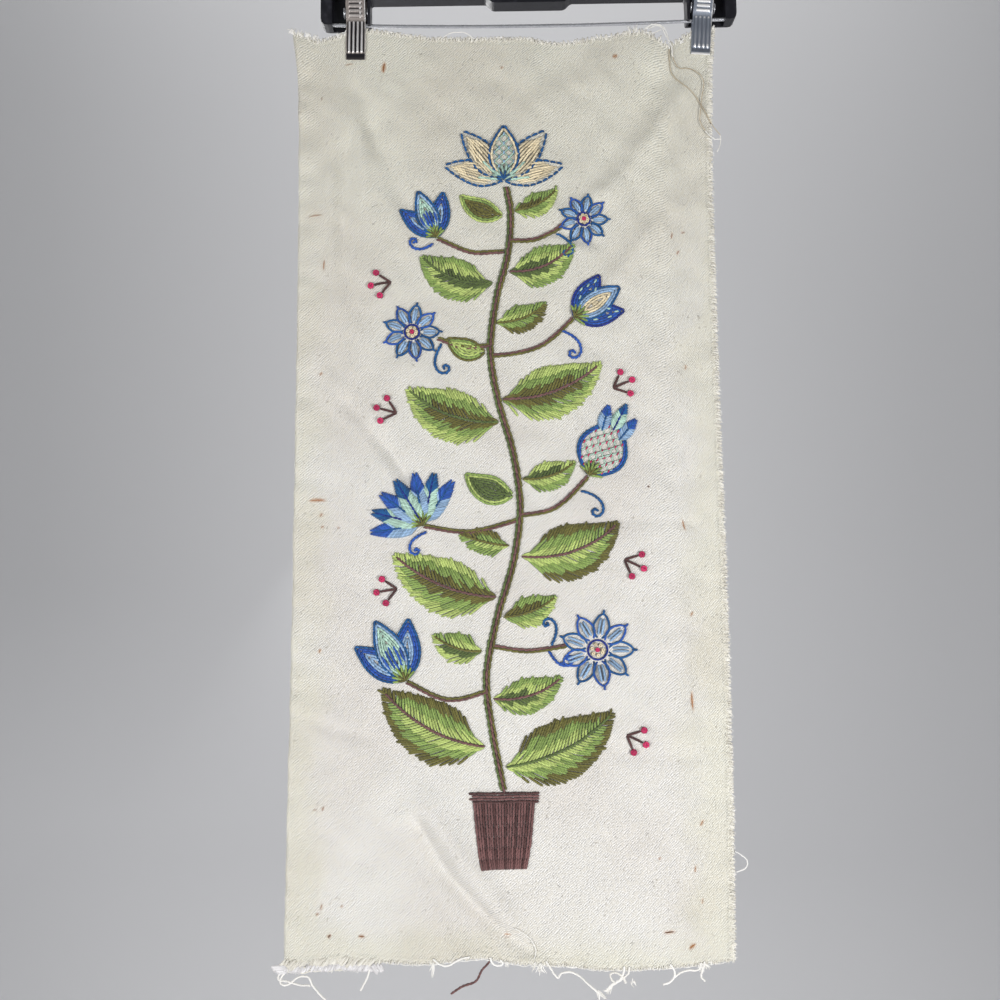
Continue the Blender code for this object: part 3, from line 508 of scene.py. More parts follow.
def spun_cotton(name, shaded, bright):
    """The finish of loose cotton yarns, from their shaded ones to their bright ones, with painted shade on
    each yarn's sides.
    """
    finish, tree, shader = new_finish(name, 0.95, sheen=0.15)
    yarn_map = own_map(tree, "yarn")
    # Painted shade: each yarn's colour is dimmed on its sides, away from its crest.
    around = maths("SINE", times(apart(yarn_map)[1], math.tau))
    colour = blend(carried(tree, "tint"), shaded, bright)
    feed(dimmed(colour, ramp(around, -0.4, 0.7, 0.66, 1.0)), shader.inputs["Base Color"])
    raise_surface(shader, noise(stretched(yarn_map, (1500.0, 3.0, 1.0)), 1.0), 0.0001)
    return finish


cotton = spun_cotton("ravelled_cotton", dyed(236, 233, 226), dyed(255, 253, 249))
frayed = spun_cotton("frayed_twill", dyed(212, 207, 195), dyed(244, 241, 231))
bleached = spun_cotton("bleached_ends", dyed(210, 207, 207), dyed(243, 241, 242))


def spin(name, bundles, seed, sides=6):
    """One mesh of many round yarns. A bundle is (finish, paths, radii): paths has a row of
    places in x, y, z for each yarn, and radii a value for each place along."""
    draw = np.random.default_rng(seed)
    finishes = list(dict.fromkeys(finish for finish, _, _ in bundles))
    turn = np.arange(sides) / sides
    skins, faces, maps, tints, slots = [], [], [], [], []
    first = 0
    for finish, paths, radii in bundles:
        yarns, places, _ = paths.shape
        along = np.gradient(paths, axis=1)
        along /= np.linalg.norm(along, axis=2, keepdims=True)
        across = np.cross(along, FACING)
        across /= np.linalg.norm(across, axis=2, keepdims=True)
        out = np.cross(across, along)
        angle = math.tau * turn[:, None]
        ring = np.cos(angle) * across[:, :, None] + np.sin(angle) * out[:, :, None]
        skin = paths[:, :, None] + np.broadcast_to(radii, (yarns, places))[:, :, None, None] * ring
        skins.append(skin.reshape(-1, 3))
        index = first + np.arange(yarns * places * sides).reshape(yarns, places, sides)
        first += yarns * places * sides
        beside = np.roll(index, -1, axis=2)
        quads = np.stack((index[:, :-1], index[:, 1:], beside[:, 1:], beside[:, :-1]), axis=-1)
        run = np.zeros((yarns, places))
        run[:, 1:] = np.cumsum(np.linalg.norm(np.diff(paths, axis=1), axis=2), axis=1)
        low = np.broadcast_to(run[:, :-1, None], quads.shape[:3])
        high = np.broadcast_to(run[:, 1:, None], quads.shape[:3])
        near = np.broadcast_to(turn, quads.shape[:3])
        far = near + 1.0 / sides
        quad_map = np.stack((np.stack((low, near), -1), np.stack((high, near), -1),
                             np.stack((high, far), -1), np.stack((low, far), -1)), axis=3)
        faces += quads.reshape(-1, 4).tolist() + index[:, 0].tolist() + index[:, -1, ::-1].tolist()
        maps += [quad_map.reshape(-1, 2), np.zeros((2 * yarns * sides, 2))]
        tints.append(np.repeat(draw.random(yarns), places * sides))
        slots.append(np.full(yarns * (places - 1) * sides + 2 * yarns, finishes.index(finish)))
    mesh = bpy.data.meshes.new(name)
    mesh.from_pydata(np.concatenate(skins).tolist(), [], faces)
    for finish in finishes:
        mesh.materials.append(finish)
    mesh.polygons.foreach_set("material_index", np.concatenate(slots))
    mesh.polygons.foreach_set("use_smooth", np.ones(len(faces), dtype=bool))
    mesh.uv_layers.new(name="yarn").data.foreach_set("uv", np.concatenate(maps).ravel())
    mesh.attributes.new("tint", "FLOAT", "POINT").data.foreach_set("value", np.concatenate(tints))
    mesh.update()
    return mesh


def lay_yarns(name, bundles, seed, slot, *nodes):
    """Adds a piece of yarns."""
    return add_piece(name, spin(name, bundles, seed), slot, *nodes)


EDGE_OUT = {"top": np.array([0.0, 0.0, 1.0]), "bottom": np.array([0.0, 0.0, -1.0]),
            "right": np.array([1.0, 0.0, 0.0]), "left": np.array([-1.0, 0.0, 0.0])}


def on_edge(edge, share, inset):
    """Places in the middle of the cloth, a length inside the named edge."""
    across, down = inset / FLAT_WIDTH, inset / FLAT_LENGTH
    s, t = {"top": (share, down), "bottom": (share, 1.0 - down),
            "right": (1.0 - across, share), "left": (across, share)}[edge]
    x, z = cloth_place(*np.broadcast_arrays(s, t))
    return np.stack((x, cloth_depth(x, z), z), axis=1)


def spaced(low, high, count, draw):
    """Uneven shares in order from low to high."""
    return low + (high - low) * (np.arange(count) + draw.uniform(0.1, 0.9, count)) / count


def ravel(edge, share, root, beyond, slant, radius, draw, wild=0.25, even=0.0, finish=cotton, ends=0.65):
    """Yarn ends that lie on the cloth from a root inside an edge and stick out beyond it."""
    count = len(share)
    root = root * draw.uniform(0.3, 1.15, count)
    base = on_edge(edge, share, root)
    out = EDGE_OUT[edge]
    aside = np.array([0.0, 0.0, 1.0]) if abs(out[0]) > 0.5 else np.array([1.0, 0.0, 0.0])
    reach = root + beyond * (even + (1.0 - even) * draw.uniform(0.5, 1.3, count))
    clump = 0.22 * (1.0 - even) * np.sin(share * 57.0 + 2.0 * np.sin(share * 19.0))
    lean = slant + clump + draw.normal(0.0, wild, count)
    curl = draw.normal(0.0, 0.10, count)
    rise = draw.uniform(0.3, 1.0, count)
    paths = []
    for step in np.linspace(0.0, 1.0, 5):
        place = base + out * (reach * step)[:, None]
        place += aside * (reach * (lean * step + curl * math.sin(math.pi * step)))[:, None]
        sunk = 0.9 * (1.0 - step) ** 4
        place[:, 1] -= 0.5 * CLOTH_THICKNESS + radius * (rise * math.sin(math.pi * step ** 0.7) - sunk)
        paths.append(place)
    return finish, np.stack(paths, axis=1), radius * np.array([*RAVEL_FULLNESS, ends])


def edge_yarn(edge, low, high, out, draw, radius=0.00030, finish=cotton):
    """A ravelled yarn that still lies along the edge, a little way out from it."""
    share = np.linspace(low, high, EDGE_YARN_POINTS)
    place = on_edge(edge, share, 0.0) + EDGE_OUT[edge] * out
    place += EDGE_OUT[edge] * (0.0004 * np.sin(share * 240.0 + draw.uniform(0, 6)))[:, None]
    place[:, 1] -= 0.0004 + 0.0004 * np.sin(share * 170.0)
    return finish, place[None], np.full(EDGE_YARN_POINTS, radius)


def tuft(x, z, heading, length, ends, draw, radius=0.00045, spread=16.0, finish=cotton, even=0.55):
    """A brush of yarn ends that spread from one point, the shortest an even share of the longest."""
    angle = np.radians(heading + draw.normal(0.0, spread, ends))
    reach = length * draw.uniform(even, 1.1, ends)
    bend = draw.normal(0.0, spread / 64.0, ends)
    start = np.array([x, z]) + draw.normal(0.0, 0.0009, (ends, 2))
    lift = draw.uniform(-0.0012, 0.0012, ends)
    paths = []
    for step in np.linspace(0.0, 1.0, 5):
        turned = angle + bend * step
        place = start + (reach * step)[:, None] * np.stack((np.cos(turned), np.sin(turned)), axis=1)
        depth = cloth_front(start[:, 0], start[:, 1]) + lift * step - radius
        paths.append(np.stack((place[:, 0], depth, place[:, 1]), axis=1))
    return finish, np.stack(paths, axis=1), radius * np.array([*TUFT_FULLNESS, even])


fray = np.random.default_rng(11)
top_share = spaced(0.002, 0.998, 184, fray)
top_beyond = 0.0009 + 0.0020 * ease(0.10, 0.04, top_share)
top_beyond += 0.0012 * ease(0.13, 0.15, top_share) * ease(0.20, 0.17, top_share)
top_beyond += 0.0012 * ease(0.60, 0.70, top_share)
TOP_TUFTS = [
    # x, z, heading, length, ends
    (-0.2120, -0.1120, 128, 0.0075, 12),
    (-0.2060, -0.1140, 100, 0.0050, 8),
    (-0.1990, -0.1165, 70, 0.0050, 9),
    (-0.1935, -0.1175, 80, 0.0055, 7),
    (-0.1720, -0.1160, 55, 0.0045, 8),
    (-0.1650, -0.1135, 60, 0.0040, 6),
    (0.0930, -0.1120, 100, 0.0060, 8),
    (0.0985, -0.1110, 80, 0.0060, 7),
    (0.1400, -0.1215, 60, 0.0045, 6),
    (0.1480, -0.1170, 50, 0.0045, 6),
    (0.1700, -0.1090, 70, 0.0040, 7),
]
top_yarns = [edge_yarn("top", 0.055, 0.125, 0.0014, fray), edge_yarn("top", 0.2, 0.5, 0.0006, fray),
             edge_yarn("top", 0.5, 0.8, 0.0007, fray)]
lay_yarns("top_fringe_yarns", [
    ravel("top", top_share, 0.0034, top_beyond + 0.0006, 0.05, 0.00068, fray, finish=frayed, ends=0.85),
    ravel("top", spaced(0.0, 1.0, 260, fray), 0.0030, 0.0020, 0.0, 0.00022, fray, 0.5),
    *top_yarns, *(tuft(*row, fray) for row in TOP_TUFTS)], 1, "ravelled_cotton", "top_fringe")
right_share = spaced(0.001, 0.999, 440, fray)
lay_yarns("right_fringe_yarns", [
    ravel("right", right_share, 0.0046, 0.0010, -0.34, 0.00074, fray, 0.10, 0.85, frayed, 1.0),
    ravel("right", spaced(0.0, 1.0, 420, fray), 0.0036, 0.0022, -0.2, 0.00024, fray, 0.5)],
    2, "ravelled_cotton", "right_fringe")
HEM_TUFTS = [
    # x, z, heading, length, ends
    (0.0560, -0.9470, 300, 0.0095, 9),
    (0.0091, -0.9275, 268, 0.0080, 12),
    (0.0060, -0.9275, 240, 0.0060, 8),
    (-0.0178, -0.9250, 280, 0.0045, 6),
    (-0.0799, -0.9250, 262, 0.0110, 5),
    (0.0853, -0.9390, 300, 0.0050, 5),
    (0.0680, -0.9440, 232, 0.0075, 12),
    (0.1440, -0.9290, 285, 0.0060, 9),
    (0.1490, -0.9290, 320, 0.0050, 6),
]

# Loose yarns: long cotton ends that ravelled free but still hold in an edge, and a
# doubled yarn laid over the top beside the right clip; its middle, on the cloth, is a
# darker cotton as painted shade.
YARN_END = 0.00090
LOOSE_YARN = 0.0005
BOTTOM_LOOSE = [
    [(-0.2068, -0.9329), (-0.2091, -0.9362), (-0.2094, -0.9378), (-0.2082, -0.9395), (-0.2055, -0.9401),
     (-0.2021, -0.9405), (-0.1982, -0.9415), (-0.1945, -0.9423), (-0.1906, -0.9433), (-0.1871, -0.9438),
     (-0.1845, -0.9438), (-0.1828, -0.9449)],
    [(-0.2032, -0.9333), (-0.2064, -0.9370), (-0.2073, -0.9399), (-0.2069, -0.9420), (-0.2042, -0.9434),
     (-0.2008, -0.9428), (-0.1982, -0.9415), (-0.1949, -0.9386), (-0.1919, -0.9370), (-0.1885, -0.9362),
     (-0.1847, -0.9370), (-0.1825, -0.9399), (-0.1807, -0.9445), (-0.1785, -0.9473), (-0.1742, -0.9527),
     (-0.1699, -0.9568)],
    [(-0.1335, -0.9317), (-0.1351, -0.9382), (-0.1384, -0.9446), (-0.1408, -0.9494)],
    [(0.0141, -0.9252), (0.0183, -0.9317), (0.0237, -0.9386), (0.0266, -0.9353), (0.0317, -0.9336),
     (0.0367, -0.9340), (0.0425, -0.9369), (0.0492, -0.9422), (0.0567, -0.9478)],
    [(0.0794, -0.9406), (0.0777, -0.9365), (0.0736, -0.9329), (0.0694, -0.9321), (0.0669, -0.9337),
     (0.0685, -0.9382), (0.0718, -0.9414)],
    [(0.0829, -0.9268), (0.0816, -0.9333), (0.0761, -0.9378), (0.0693, -0.9422), (0.0634, -0.9478)],
    [(0.0787, -0.9268), (0.0778, -0.9333), (0.0744, -0.9382), (0.0693, -0.9414), (0.0642, -0.9462)],
    [(0.0786, -0.9349), (0.0790, -0.9382), (0.0802, -0.9406)],
    [(0.1173, -0.9268), (0.1198, -0.9301), (0.1214, -0.9341), (0.1205, -0.9382), (0.1171, -0.9414),
     (0.1112, -0.9430)],
    [(0.1205, -0.9382), (0.1264, -0.9349), (0.1331, -0.9333), (0.1398, -0.9337), (0.1436, -0.9317),
     (0.1441, -0.9277)],
    [(0.1471, -0.9268), (0.1466, -0.9317), (0.1444, -0.9365), (0.1447, -0.9398), (0.1476, -0.9426)],
    [(-0.0799, -0.9212), (-0.0740, -0.9252), (-0.0673, -0.9260), (-0.0614, -0.9228), (-0.0564, -0.9208),
     (-0.0497, -0.9200)],
    [(-0.0329, -0.9212), (-0.0304, -0.9260), (-0.0253, -0.9277), (-0.0220, -0.9260), (-0.0245, -0.9232)],
]
RIGHT_LOOSE = [[(0.1748, -0.8366), (0.1841, -0.8430), (0.1833, -0.8494), (0.1753, -0.8536)]]
TOP_LOOSE = [
    [(-0.0773, -0.1180), (-0.0700, -0.1124), (-0.0627, -0.1112), (-0.0554, -0.1124), (-0.0481, -0.1182)],
    [(0.1065, -0.1090), (0.1120, -0.1068), (0.1190, -0.1050), (0.1250, -0.1085)],
    [(0.1075, -0.1120), (0.1140, -0.1125), (0.1215, -0.1090)],
]
FACE_LOOSE = [
    [(-0.0119, -0.8976), (-0.0035, -0.9033), (0.0024, -0.9098), (0.0057, -0.9179), (0.0040, -0.9244)],
]
DOUBLED_THREAD_BACK = [
    (0.1066, -0.1095), (0.1121, -0.1047), (0.1185, -0.1040), (0.1248, -0.1076),
    (0.1283, -0.1181), (0.1291, -0.1276), (0.1289, -0.1370), (0.1314, -0.1512),
    (0.1403, -0.1616), (0.1510, -0.1710), (0.1572, -0.1823), (0.1624, -0.1927),
    (0.1686, -0.2020), (0.1738, -0.2086), (0.1737, -0.2160), (0.1699, -0.2254)]
DOUBLED_THREAD_FRONT = [
    (0.1111, -0.1085), (0.1166, -0.1057), (0.1221, -0.1076), (0.1265, -0.1162),
    (0.1309, -0.1257), (0.1317, -0.1352), (0.1370, -0.1456), (0.1469, -0.1465),
    (0.1559, -0.1522), (0.1594, -0.1607), (0.1573, -0.1739), (0.1563, -0.1833),
    (0.1551, -0.1964), (0.1595, -0.2058), (0.1675, -0.2126), (0.1740, -0.2124)]


def smooth_line(points, steps):
    """A smooth line through points in x and z, with some steps in each stretch."""
    points = np.array(points, dtype=float)
    padded = np.vstack((points[:1], points, points[-1:]))
    line = []
    for before, start, end, after in zip(padded, padded[1:], padded[2:], padded[3:]):
        share = (np.arange(steps) / steps)[:, None]
        line.append(0.5 * (2.0 * start + (end - before) * share
                           + (2.0 * before - 5.0 * start + 4.0 * end - after) * share ** 2
                           + (3.0 * start - before - 3.0 * end + after) * share ** 3))
    return np.vstack((*line, points[-1:]))


def loose_yarn(points, lift, draw, finish=cotton, radius=YARN_END):
    """One loose yarn on or off the cloth, a little uneven."""
    line = smooth_line(points, 7)
    line[1:-1] += draw.normal(0.0, 0.00012, line[1:-1].shape)
    depth = cloth_front(line[:, 0], line[:, 1]) - lift
    path = np.stack((line[:, 0], depth, line[:, 1]), axis=1)
    return finish, path[None], radius * draw.uniform(0.85, 1.15, len(path))


TANGLE_END = 0.213
TANGLE_TUFTS = [
    # x, z, heading, length, ends, radius, spread
    (-0.2035, -0.9292, 183, 0.0092, 11, 0.00135, 3.5),
    (-0.2030, -0.9312, 187, 0.0075, 7, 0.00120, 4.0),
    (-0.1305, -0.9288, 318, 0.0078, 11, 0.00130, 4.0),
    (-0.1262, -0.9275, 300, 0.0055, 7, 0.00100, 4.0),
]
tangle = [ravel("bottom", spaced(0.0, TANGLE_END, 95, fray), 0.0044, 0.0050, -0.75, 0.00095, fray,
                0.12, 0.6, frayed),
          ravel("bottom", spaced(-0.002, TANGLE_END, 92, fray), -0.0022, 0.0070, -0.60, 0.00110, fray,
                0.14, 0.8, bleached, 0.85),
          ravel("bottom", spaced(0.0, TANGLE_END, 130, fray), 0.0020, 0.0070, -0.30, 0.00024, fray, 0.5),
          *(edge_yarn("bottom", 0.0, TANGLE_END, out, fray, 0.0007, frayed)
            for out in (0.0030, 0.0052, 0.0068)),
          *(tuft(*row[:5], fray, *row[5:], bleached, 0.88) for row in TANGLE_TUFTS)]
hem_yarns = [edge_yarn("bottom", 0.23, 0.66, 0.0010, fray), edge_yarn("bottom", 0.6, 0.98, 0.0008, fray)]
lay_yarns("bottom_fringe_yarns", [
    ravel("bottom", spaced(0.215, 0.998, 155, fray), 0.0030, 0.0010, 0.0, 0.00050, fray, finish=frayed),
    ravel("bottom", spaced(0.0, 1.0, 240, fray), 0.0030, 0.0016, 0.0, 0.00022, fray, 0.5),
    *tangle, *hem_yarns, *(tuft(*row, fray) for row in HEM_TUFTS),
    *(loose_yarn(points, 0.0006, fray) for points in BOTTOM_LOOSE)], 3, "ravelled_cotton", "bottom_fringe")
stray = ravel("left", spaced(0.01, 0.99, 130, fray), 0.0010, 0.0010, 0.3, 0.00012, fray, 0.8)
other_loose = [loose_yarn(points, 0.0010, fray, radius=LOOSE_YARN)
               for points in RIGHT_LOOSE + TOP_LOOSE + FACE_LOOSE]
lay_yarns("loose_yarns", [*other_loose, stray], 4, "ravelled_cotton")
# Painted shade: the doubled yarn's middle, where it lies on the cloth, is a darker copy of the cotton.
shaded_cotton = spun_cotton("thread_in_painted_shade", dyed(192, 176, 150), dyed(208, 194, 168))
THREAD_PARTS = [
    # first and last point, finish, radius
    (0, 6, cotton, 0.00056),
    (5, 14, shaded_cotton, 0.00040),
    (13, 16, cotton, 0.00050),
]
doubled = [loose_yarn(points[first:last], lift, fray, finish, radius)
           for points, lift in ((DOUBLED_THREAD_BACK, 0.0010), (DOUBLED_THREAD_FRONT, 0.0020))
           for first, last, finish, radius in THREAD_PARTS]
lay_yarns("doubled_yarn", doubled, 5, "ravelled_cotton", "doubled_thread")

# Rust marks, left in the cloth where it was stapled to a frame to be worked. Each is
# a patch of the same twill, stained in its middle and clear at its rim.
RUST_MARKS = [
    # x, z, length, width, heading in degrees, strength, halo, darkness
    (-0.1295, -0.1448, 0.0087, 0.0012, 84, 0.95, 0.70, 0.60),
    (-0.1612, -0.1420, 0.0070, 0.0009, 12, 0.35, 0.10, 0.20),
    (-0.0227, -0.1448, 0.0030, 0.0010, 70, 0.35, 0.30, 0.20),
    (0.0797, -0.1344, 0.0043, 0.0014, 25, 0.55, 0.60, 0.20),
    (-0.1851, -0.1749, 0.0035, 0.0009, 80, 0.45, 0.10, 0.30),
    (-0.1892, -0.2845, 0.0131, 0.0009, 4, 0.50, 0.20, 0.30),
    (-0.1801, -0.3293, 0.0096, 0.0009, 88, 0.60, 0.20, 0.30),
    (-0.1821, -0.4267, 0.0035, 0.0010, 50, 0.50, 0.20, 0.30),
    (-0.1838, -0.5389, 0.0122, 0.0010, 2, 0.60, 0.70, 0.30),
    (-0.1802, -0.5511, 0.0039, 0.0010, 60, 0.50, 0.30, 0.30),
    (-0.1791, -0.5616, 0.0030, 0.0010, 20, 0.50, 0.20, 0.30),
    (-0.1652, -0.5625, 0.0030, 0.0010, 20, 0.40, 0.20, 0.30),
    (-0.1792, -0.6683, 0.0039, 0.0010, 70, 0.50, 0.30, 0.30),
    (0.1288, -0.3019, 0.0052, 0.0009, 80, 0.50, 0.20, 0.30),
    (0.1387, -0.2992, 0.0035, 0.0009, 30, 0.45, 0.20, 0.30),
    (0.1339, -0.3174, 0.0043, 0.0009, 60, 0.50, 0.20, 0.30),
    (0.1394, -0.4205, 0.0043, 0.0009, 85, 0.45, 0.20, 0.30),
    (0.1045, -0.5267, 0.0022, 0.0012, 0, 0.70, 0.10, 0.90),
    (0.1354, -0.5598, 0.0083, 0.0010, 103, 0.70, 0.30, 0.30),
    (0.1410, -0.6367, 0.0043, 0.0010, 60, 0.50, 0.30, 0.30),
    (0.1407, -0.7107, 0.0139, 0.0011, 94, 0.80, 0.40, 0.30),
    (0.1474, -0.8134, 0.0052, 0.0010, 60, 0.55, 0.30, 0.30),
    (0.1471, -0.8782, 0.0043, 0.0009, 85, 0.30, 0.20, 0.20),
    (0.1408, -0.8512, 0.0052, 0.0010, 85, 0.50, 0.20, 0.30),
    (0.1169, -0.9010, 0.0087, 0.0011, 4, 0.85, 0.30, 0.85),
    (0.1372, -0.9144, 0.0061, 0.0014, 28, 0.80, 0.50, 0.40),
    (-0.0178, -0.9050, 0.0052, 0.0014, 15, 0.50, 0.60, 0.10),
    (-0.1679, -0.9059, 0.0035, 0.0011, 50, 0.80, 0.50, 0.90),
    (-0.1411, -0.9067, 0.0052, 0.0011, 3, 0.70, 0.50, 0.60),
    (-0.1750, -0.8823, 0.0052, 0.0009, 80, 0.50, 0.20, 0.30),
    (-0.1783, -0.8880, 0.0030, 0.0010, 30, 0.50, 0.20, 0.30),
    (-0.1582, -0.8823, 0.0030, 0.0010, 30, 0.40, 0.20, 0.30),
    (-0.1746, -0.8010, 0.0043, 0.0010, 70, 0.50, 0.20, 0.30),
    (-0.1813, -0.8018, 0.0030, 0.0009, 10, 0.40, 0.20, 0.30),
    (0.1098, -0.8406, 0.0030, 0.0009, 45, 0.40, 0.20, 0.30),
]
MARK_PROUD = 0.00012
MARK_CORE = (0.62, 0.26)
WEAVE_CORNER = (-0.2040, -0.1150)
RAGGED_SCALE = 1100.0
RUST_PALE = dyed(206, 134, 58)
RUST_DARK = dyed(64, 34, 14)
rust, rust_tree, rust_shader = new_finish("rust_marked_twill", 0.95)
rust_colour, rust_height = weave_colour(rust_tree)
rust_map = apart(own_map(rust_tree, "mark"))
ragged = maths("MULTIPLY_ADD", noise(own_place(rust_tree), RAGGED_SCALE), 0.8, -0.4)


def oval(half_length, half_width):
    """Squared distance from a mark's middle, 1 at the rim of an oval."""
    parts = [maths("POWER", maths("ABSOLUTE", maths("DIVIDE", part, half)), 2.0)
             for part, half in zip(rust_map, (half_length, half_width))]
    return plus(plus(*parts), ragged)


core = ramp(oval(*MARK_CORE), 0.60, 1.25, 1.0, 0.0)
halo = ramp(oval(1.0, 1.0), 0.0, 0.95, 0.60, 0.0)
rusted = blend(times(core, carried(rust_tree, "darkness")), RUST_PALE, RUST_DARK)
feed(blend(0.94, rust_colour, rusted), rust_shader.inputs["Base Color"])
feed(maths("MAXIMUM", times(core, carried(rust_tree, "strength")), times(halo, carried(rust_tree, "halo"))),
     rust_shader.inputs["Alpha"])
raise_surface(rust_shader, rust_height, 0.00030)


def stain_patches():
    """A small patch of stained cloth for each mark, just proud of the face."""
    shape = bmesh.new()
    weave_layer = shape.loops.layers.uv.new("weave")
    mark_layer = shape.loops.layers.uv.new("mark")
    layers = [shape.verts.layers.float.new(name) for name in ("strength", "halo", "darkness")]
    for x, z, length, width, heading, *values in RUST_MARKS:
        along = math.radians(heading)
        for vertex in bmesh.ops.create_grid(shape, x_segments=8, y_segments=3, size=1.0)["verts"]:
            corner = vertex.co.copy()
            a = 0.5 * length / MARK_CORE[0] * corner.x
            b = 0.6 * width / MARK_CORE[1] * corner.y + 0.06 * length * (1.0 - corner.x ** 2)
            place_x = x + a * math.cos(along) - b * math.sin(along)
            place_z = z + a * math.sin(along) + b * math.cos(along)
            depth = cloth_front(np.array([place_x]), np.array([place_z]))[0] - MARK_PROUD
            vertex.co = (place_x, depth, place_z)
            for layer, value in zip(layers, values):
                vertex[layer] = value
            for loop in vertex.link_loops:
                loop[mark_layer].uv = corner.xy
                loop[weave_layer].uv = (place_x - WEAVE_CORNER[0], WEAVE_CORNER[1] - place_z)
    mesh = mesh_of("rust_marks", shape)
    mesh.materials.append(rust)
    return mesh


add_piece("rust_marks", stain_patches(), "twill_cloth")

# Crewel wools: two-ply yarn, a little fuzzy, in the worker's colours. Every stitch
# is one length of it that rises out of the cloth, lies on the face and goes down.
WOOLS = {
    # name: colour
    "brown": (124, 86, 84),
    "dark_brown": (88, 56, 54),
    "lime": (192, 211, 122),
    "leaf": (146, 172, 92),
    "olive": (112, 108, 52),
    "moss": (98, 116, 62),
    "royal": (44, 92, 182),
    "navy": (26, 50, 144),
    "teal": (26, 92, 152),
    "sky": (158, 190, 224),
    "aqua": (192, 226, 208),
    "cream": (246, 230, 194),
    "berry": (214, 48, 104),
}
YARN = 0.00108
YARN_WIDTH = 0.00218
PLY_LENGTH = 0.0034
FIBRE_SCALE = 1400.0
WOOL_BUMP = 0.00035
wool_yarn, given, found = new_group(
    "wool_yarn", [("Vector", "Vector"), ("Tint", "Float"), ("Color", "Color")],
    [("Color", "Color"), ("Height", "Float")])
yarn_place, tint, dye = given.outputs[:3]
along_yarn, around_yarn = apart(yarn_place)[:2]
ply_turn = plus(maths("DIVIDE", along_yarn, PLY_LENGTH), times(around_yarn, 2.0))
ply = maths("MULTIPLY_ADD", maths("SINE", times(ply_turn, math.tau)), 0.5, 0.5)
fibres = noise(together(times(along_yarn, FIBRE_SCALE), times(ply_turn, 9.0), times(tint, 40.0)), 1.0, 3.0)
# Painted shade: the wool is darkened on its sides away from its crest and in the grooves between its plies;
# the fibre and tint terms vary its tone at random.
crest = maths("SINE", times(around_yarn, math.tau))
painted_shade_and_tone = times(ramp(crest, -0.1, 0.85, 0.34, 1.0), ramp(ply, 0.0, 0.6, 0.80, 1.0),
                   ramp(fibres, 0.25, 0.75, 0.84, 1.14), ramp(tint, 0.0, 1.0, 0.80, 1.18))
feed(dimmed(dye, painted_shade_and_tone), found.inputs["Color"])
feed(maths("MULTIPLY_ADD", fibres, 0.35, maths("POWER", ply, 0.6)), found.inputs["Height"])


def dye_wool(name, colour):
    """The finish of one colour of wool."""
    finish, tree, shader = new_finish(name + "_wool", 0.88, sheen=0.25)
    yarn = {"Vector": own_map(tree, "yarn"), "Tint": carried(tree, "tint"), "Color": dyed(*colour)}
    shown, height = add_node("Group", yarn, node_tree=wool_yarn)
    feed(shown, shader.inputs["Base Color"])
    raise_surface(shader, height, WOOL_BUMP, 0.9)
    return finish


DYED_WOOLS = {name: dye_wool(name, colour) for name, colour in WOOLS.items()}

# How a stitch lies: share of its length, rise over the cloth and fullness, the last
# two in yarn radii.
STITCH_SHARE = np.array([0.0, 0.10, 0.33, 0.67, 0.90, 1.0])
STITCH_RISE = np.array([-0.9, 0.40, 0.95, 0.95, 0.40, -0.9])
STITCH_LIFTED = np.array([0.0, 0.85, 1.0, 1.0, 0.85, 0.0])
STITCH_FULLNESS = np.array([0.70, 0.95, 1.05, 1.05, 0.95, 0.70])
STITCH_BOW = 4.0 * STITCH_SHARE * (1.0 - STITCH_SHARE)
SHORTEST_STITCH = 0.0014


def straight(wool, starts, ends, draw, radius=YARN, over=0.0):
    """Straight stitches from starts to ends in x and z, each bowed a little."""
    starts, ends = np.atleast_2d(starts), np.atleast_2d(ends)
    run = ends - starts
    length = np.linalg.norm(run, axis=1)
    keep = length > SHORTEST_STITCH
    starts, run, length = starts[keep], run[keep], length[keep]
    square = np.stack((-run[:, 1], run[:, 0]), axis=1)
    bow = draw.normal(0.0, 0.02, len(run))[:, None, None] * STITCH_BOW[:, None]
    paths = starts[:, None] + run[:, None] * STITCH_SHARE[:, None] + square[:, None] * bow
    return wool, paths, radius * STITCH_RISE + over * STITCH_LIFTED, radius * STITCH_FULLNESS


def stitch_row(wool, line, length, draw, gap=0.0, radius=YARN, over=0.0, offset=0.0, shift=0.0):
    """Stitches in a row along a line, a gap apart. A shift turns each off it, as in stem stitch."""
    line = np.asarray(line)
    steps = np.linalg.norm(np.diff(line, axis=0), axis=1)
    run = np.concatenate(([0.0], np.cumsum(steps)))
    count = max(1, round((run[-1] - offset) / (length + gap)))
    pitch = (run[-1] - offset) / count
    begin = offset + pitch * np.arange(count)
    end = begin + pitch - gap + (0.0 if gap else 0.12 * pitch)
    begin = begin + draw.normal(0.0, 0.00015, count)
    starts = np.stack([np.interp(begin, run, line[:, axis]) for axis in (0, 1)], axis=1)
    ends = np.stack([np.interp(end, run, line[:, axis]) for axis in (0, 1)], axis=1)
    way = (ends - starts) / (np.linalg.norm(ends - starts, axis=1, keepdims=True) + 1e-9)
    square = np.stack((-way[:, 1], way[:, 0]), axis=1)
    return straight(wool, starts - square * shift, ends + square * shift, draw, radius, over)


def sew(name, jobs, slot, seed, *nodes):
    """Works jobs of stitches on the cloth as one piece."""
    bundles = []
    for wool, paths, lifts, radii in jobs:
        if len(paths):
            depth = cloth_front(paths[:, :, 0], paths[:, :, 1]) - lifts
            places = np.stack((paths[:, :, 0], depth, paths[:, :, 1]), axis=2)
            bundles.append((DYED_WOOLS[wool], places, radii))
    return lay_yarns(name, bundles, seed, slot, *nodes)


DESIGN_X = -0.021

# The pot at the foot: upright rows of brown wool, every fourth row dark, sewn through
# the cloth below a rim of rows worked across.
POT_TOP = -0.786
POT_BOTTOM = -0.850
POT_TOP_WIDTH = 0.056
POT_BOTTOM_WIDTH = 0.040
POT_RIM = 0.0085
POT_SIDE_INSET = 0.0009
POT_STITCH = 0.0090
RIM_ROWS = 4
RIM_OVERHANG = 0.0018
RIM_STITCH = 0.0058


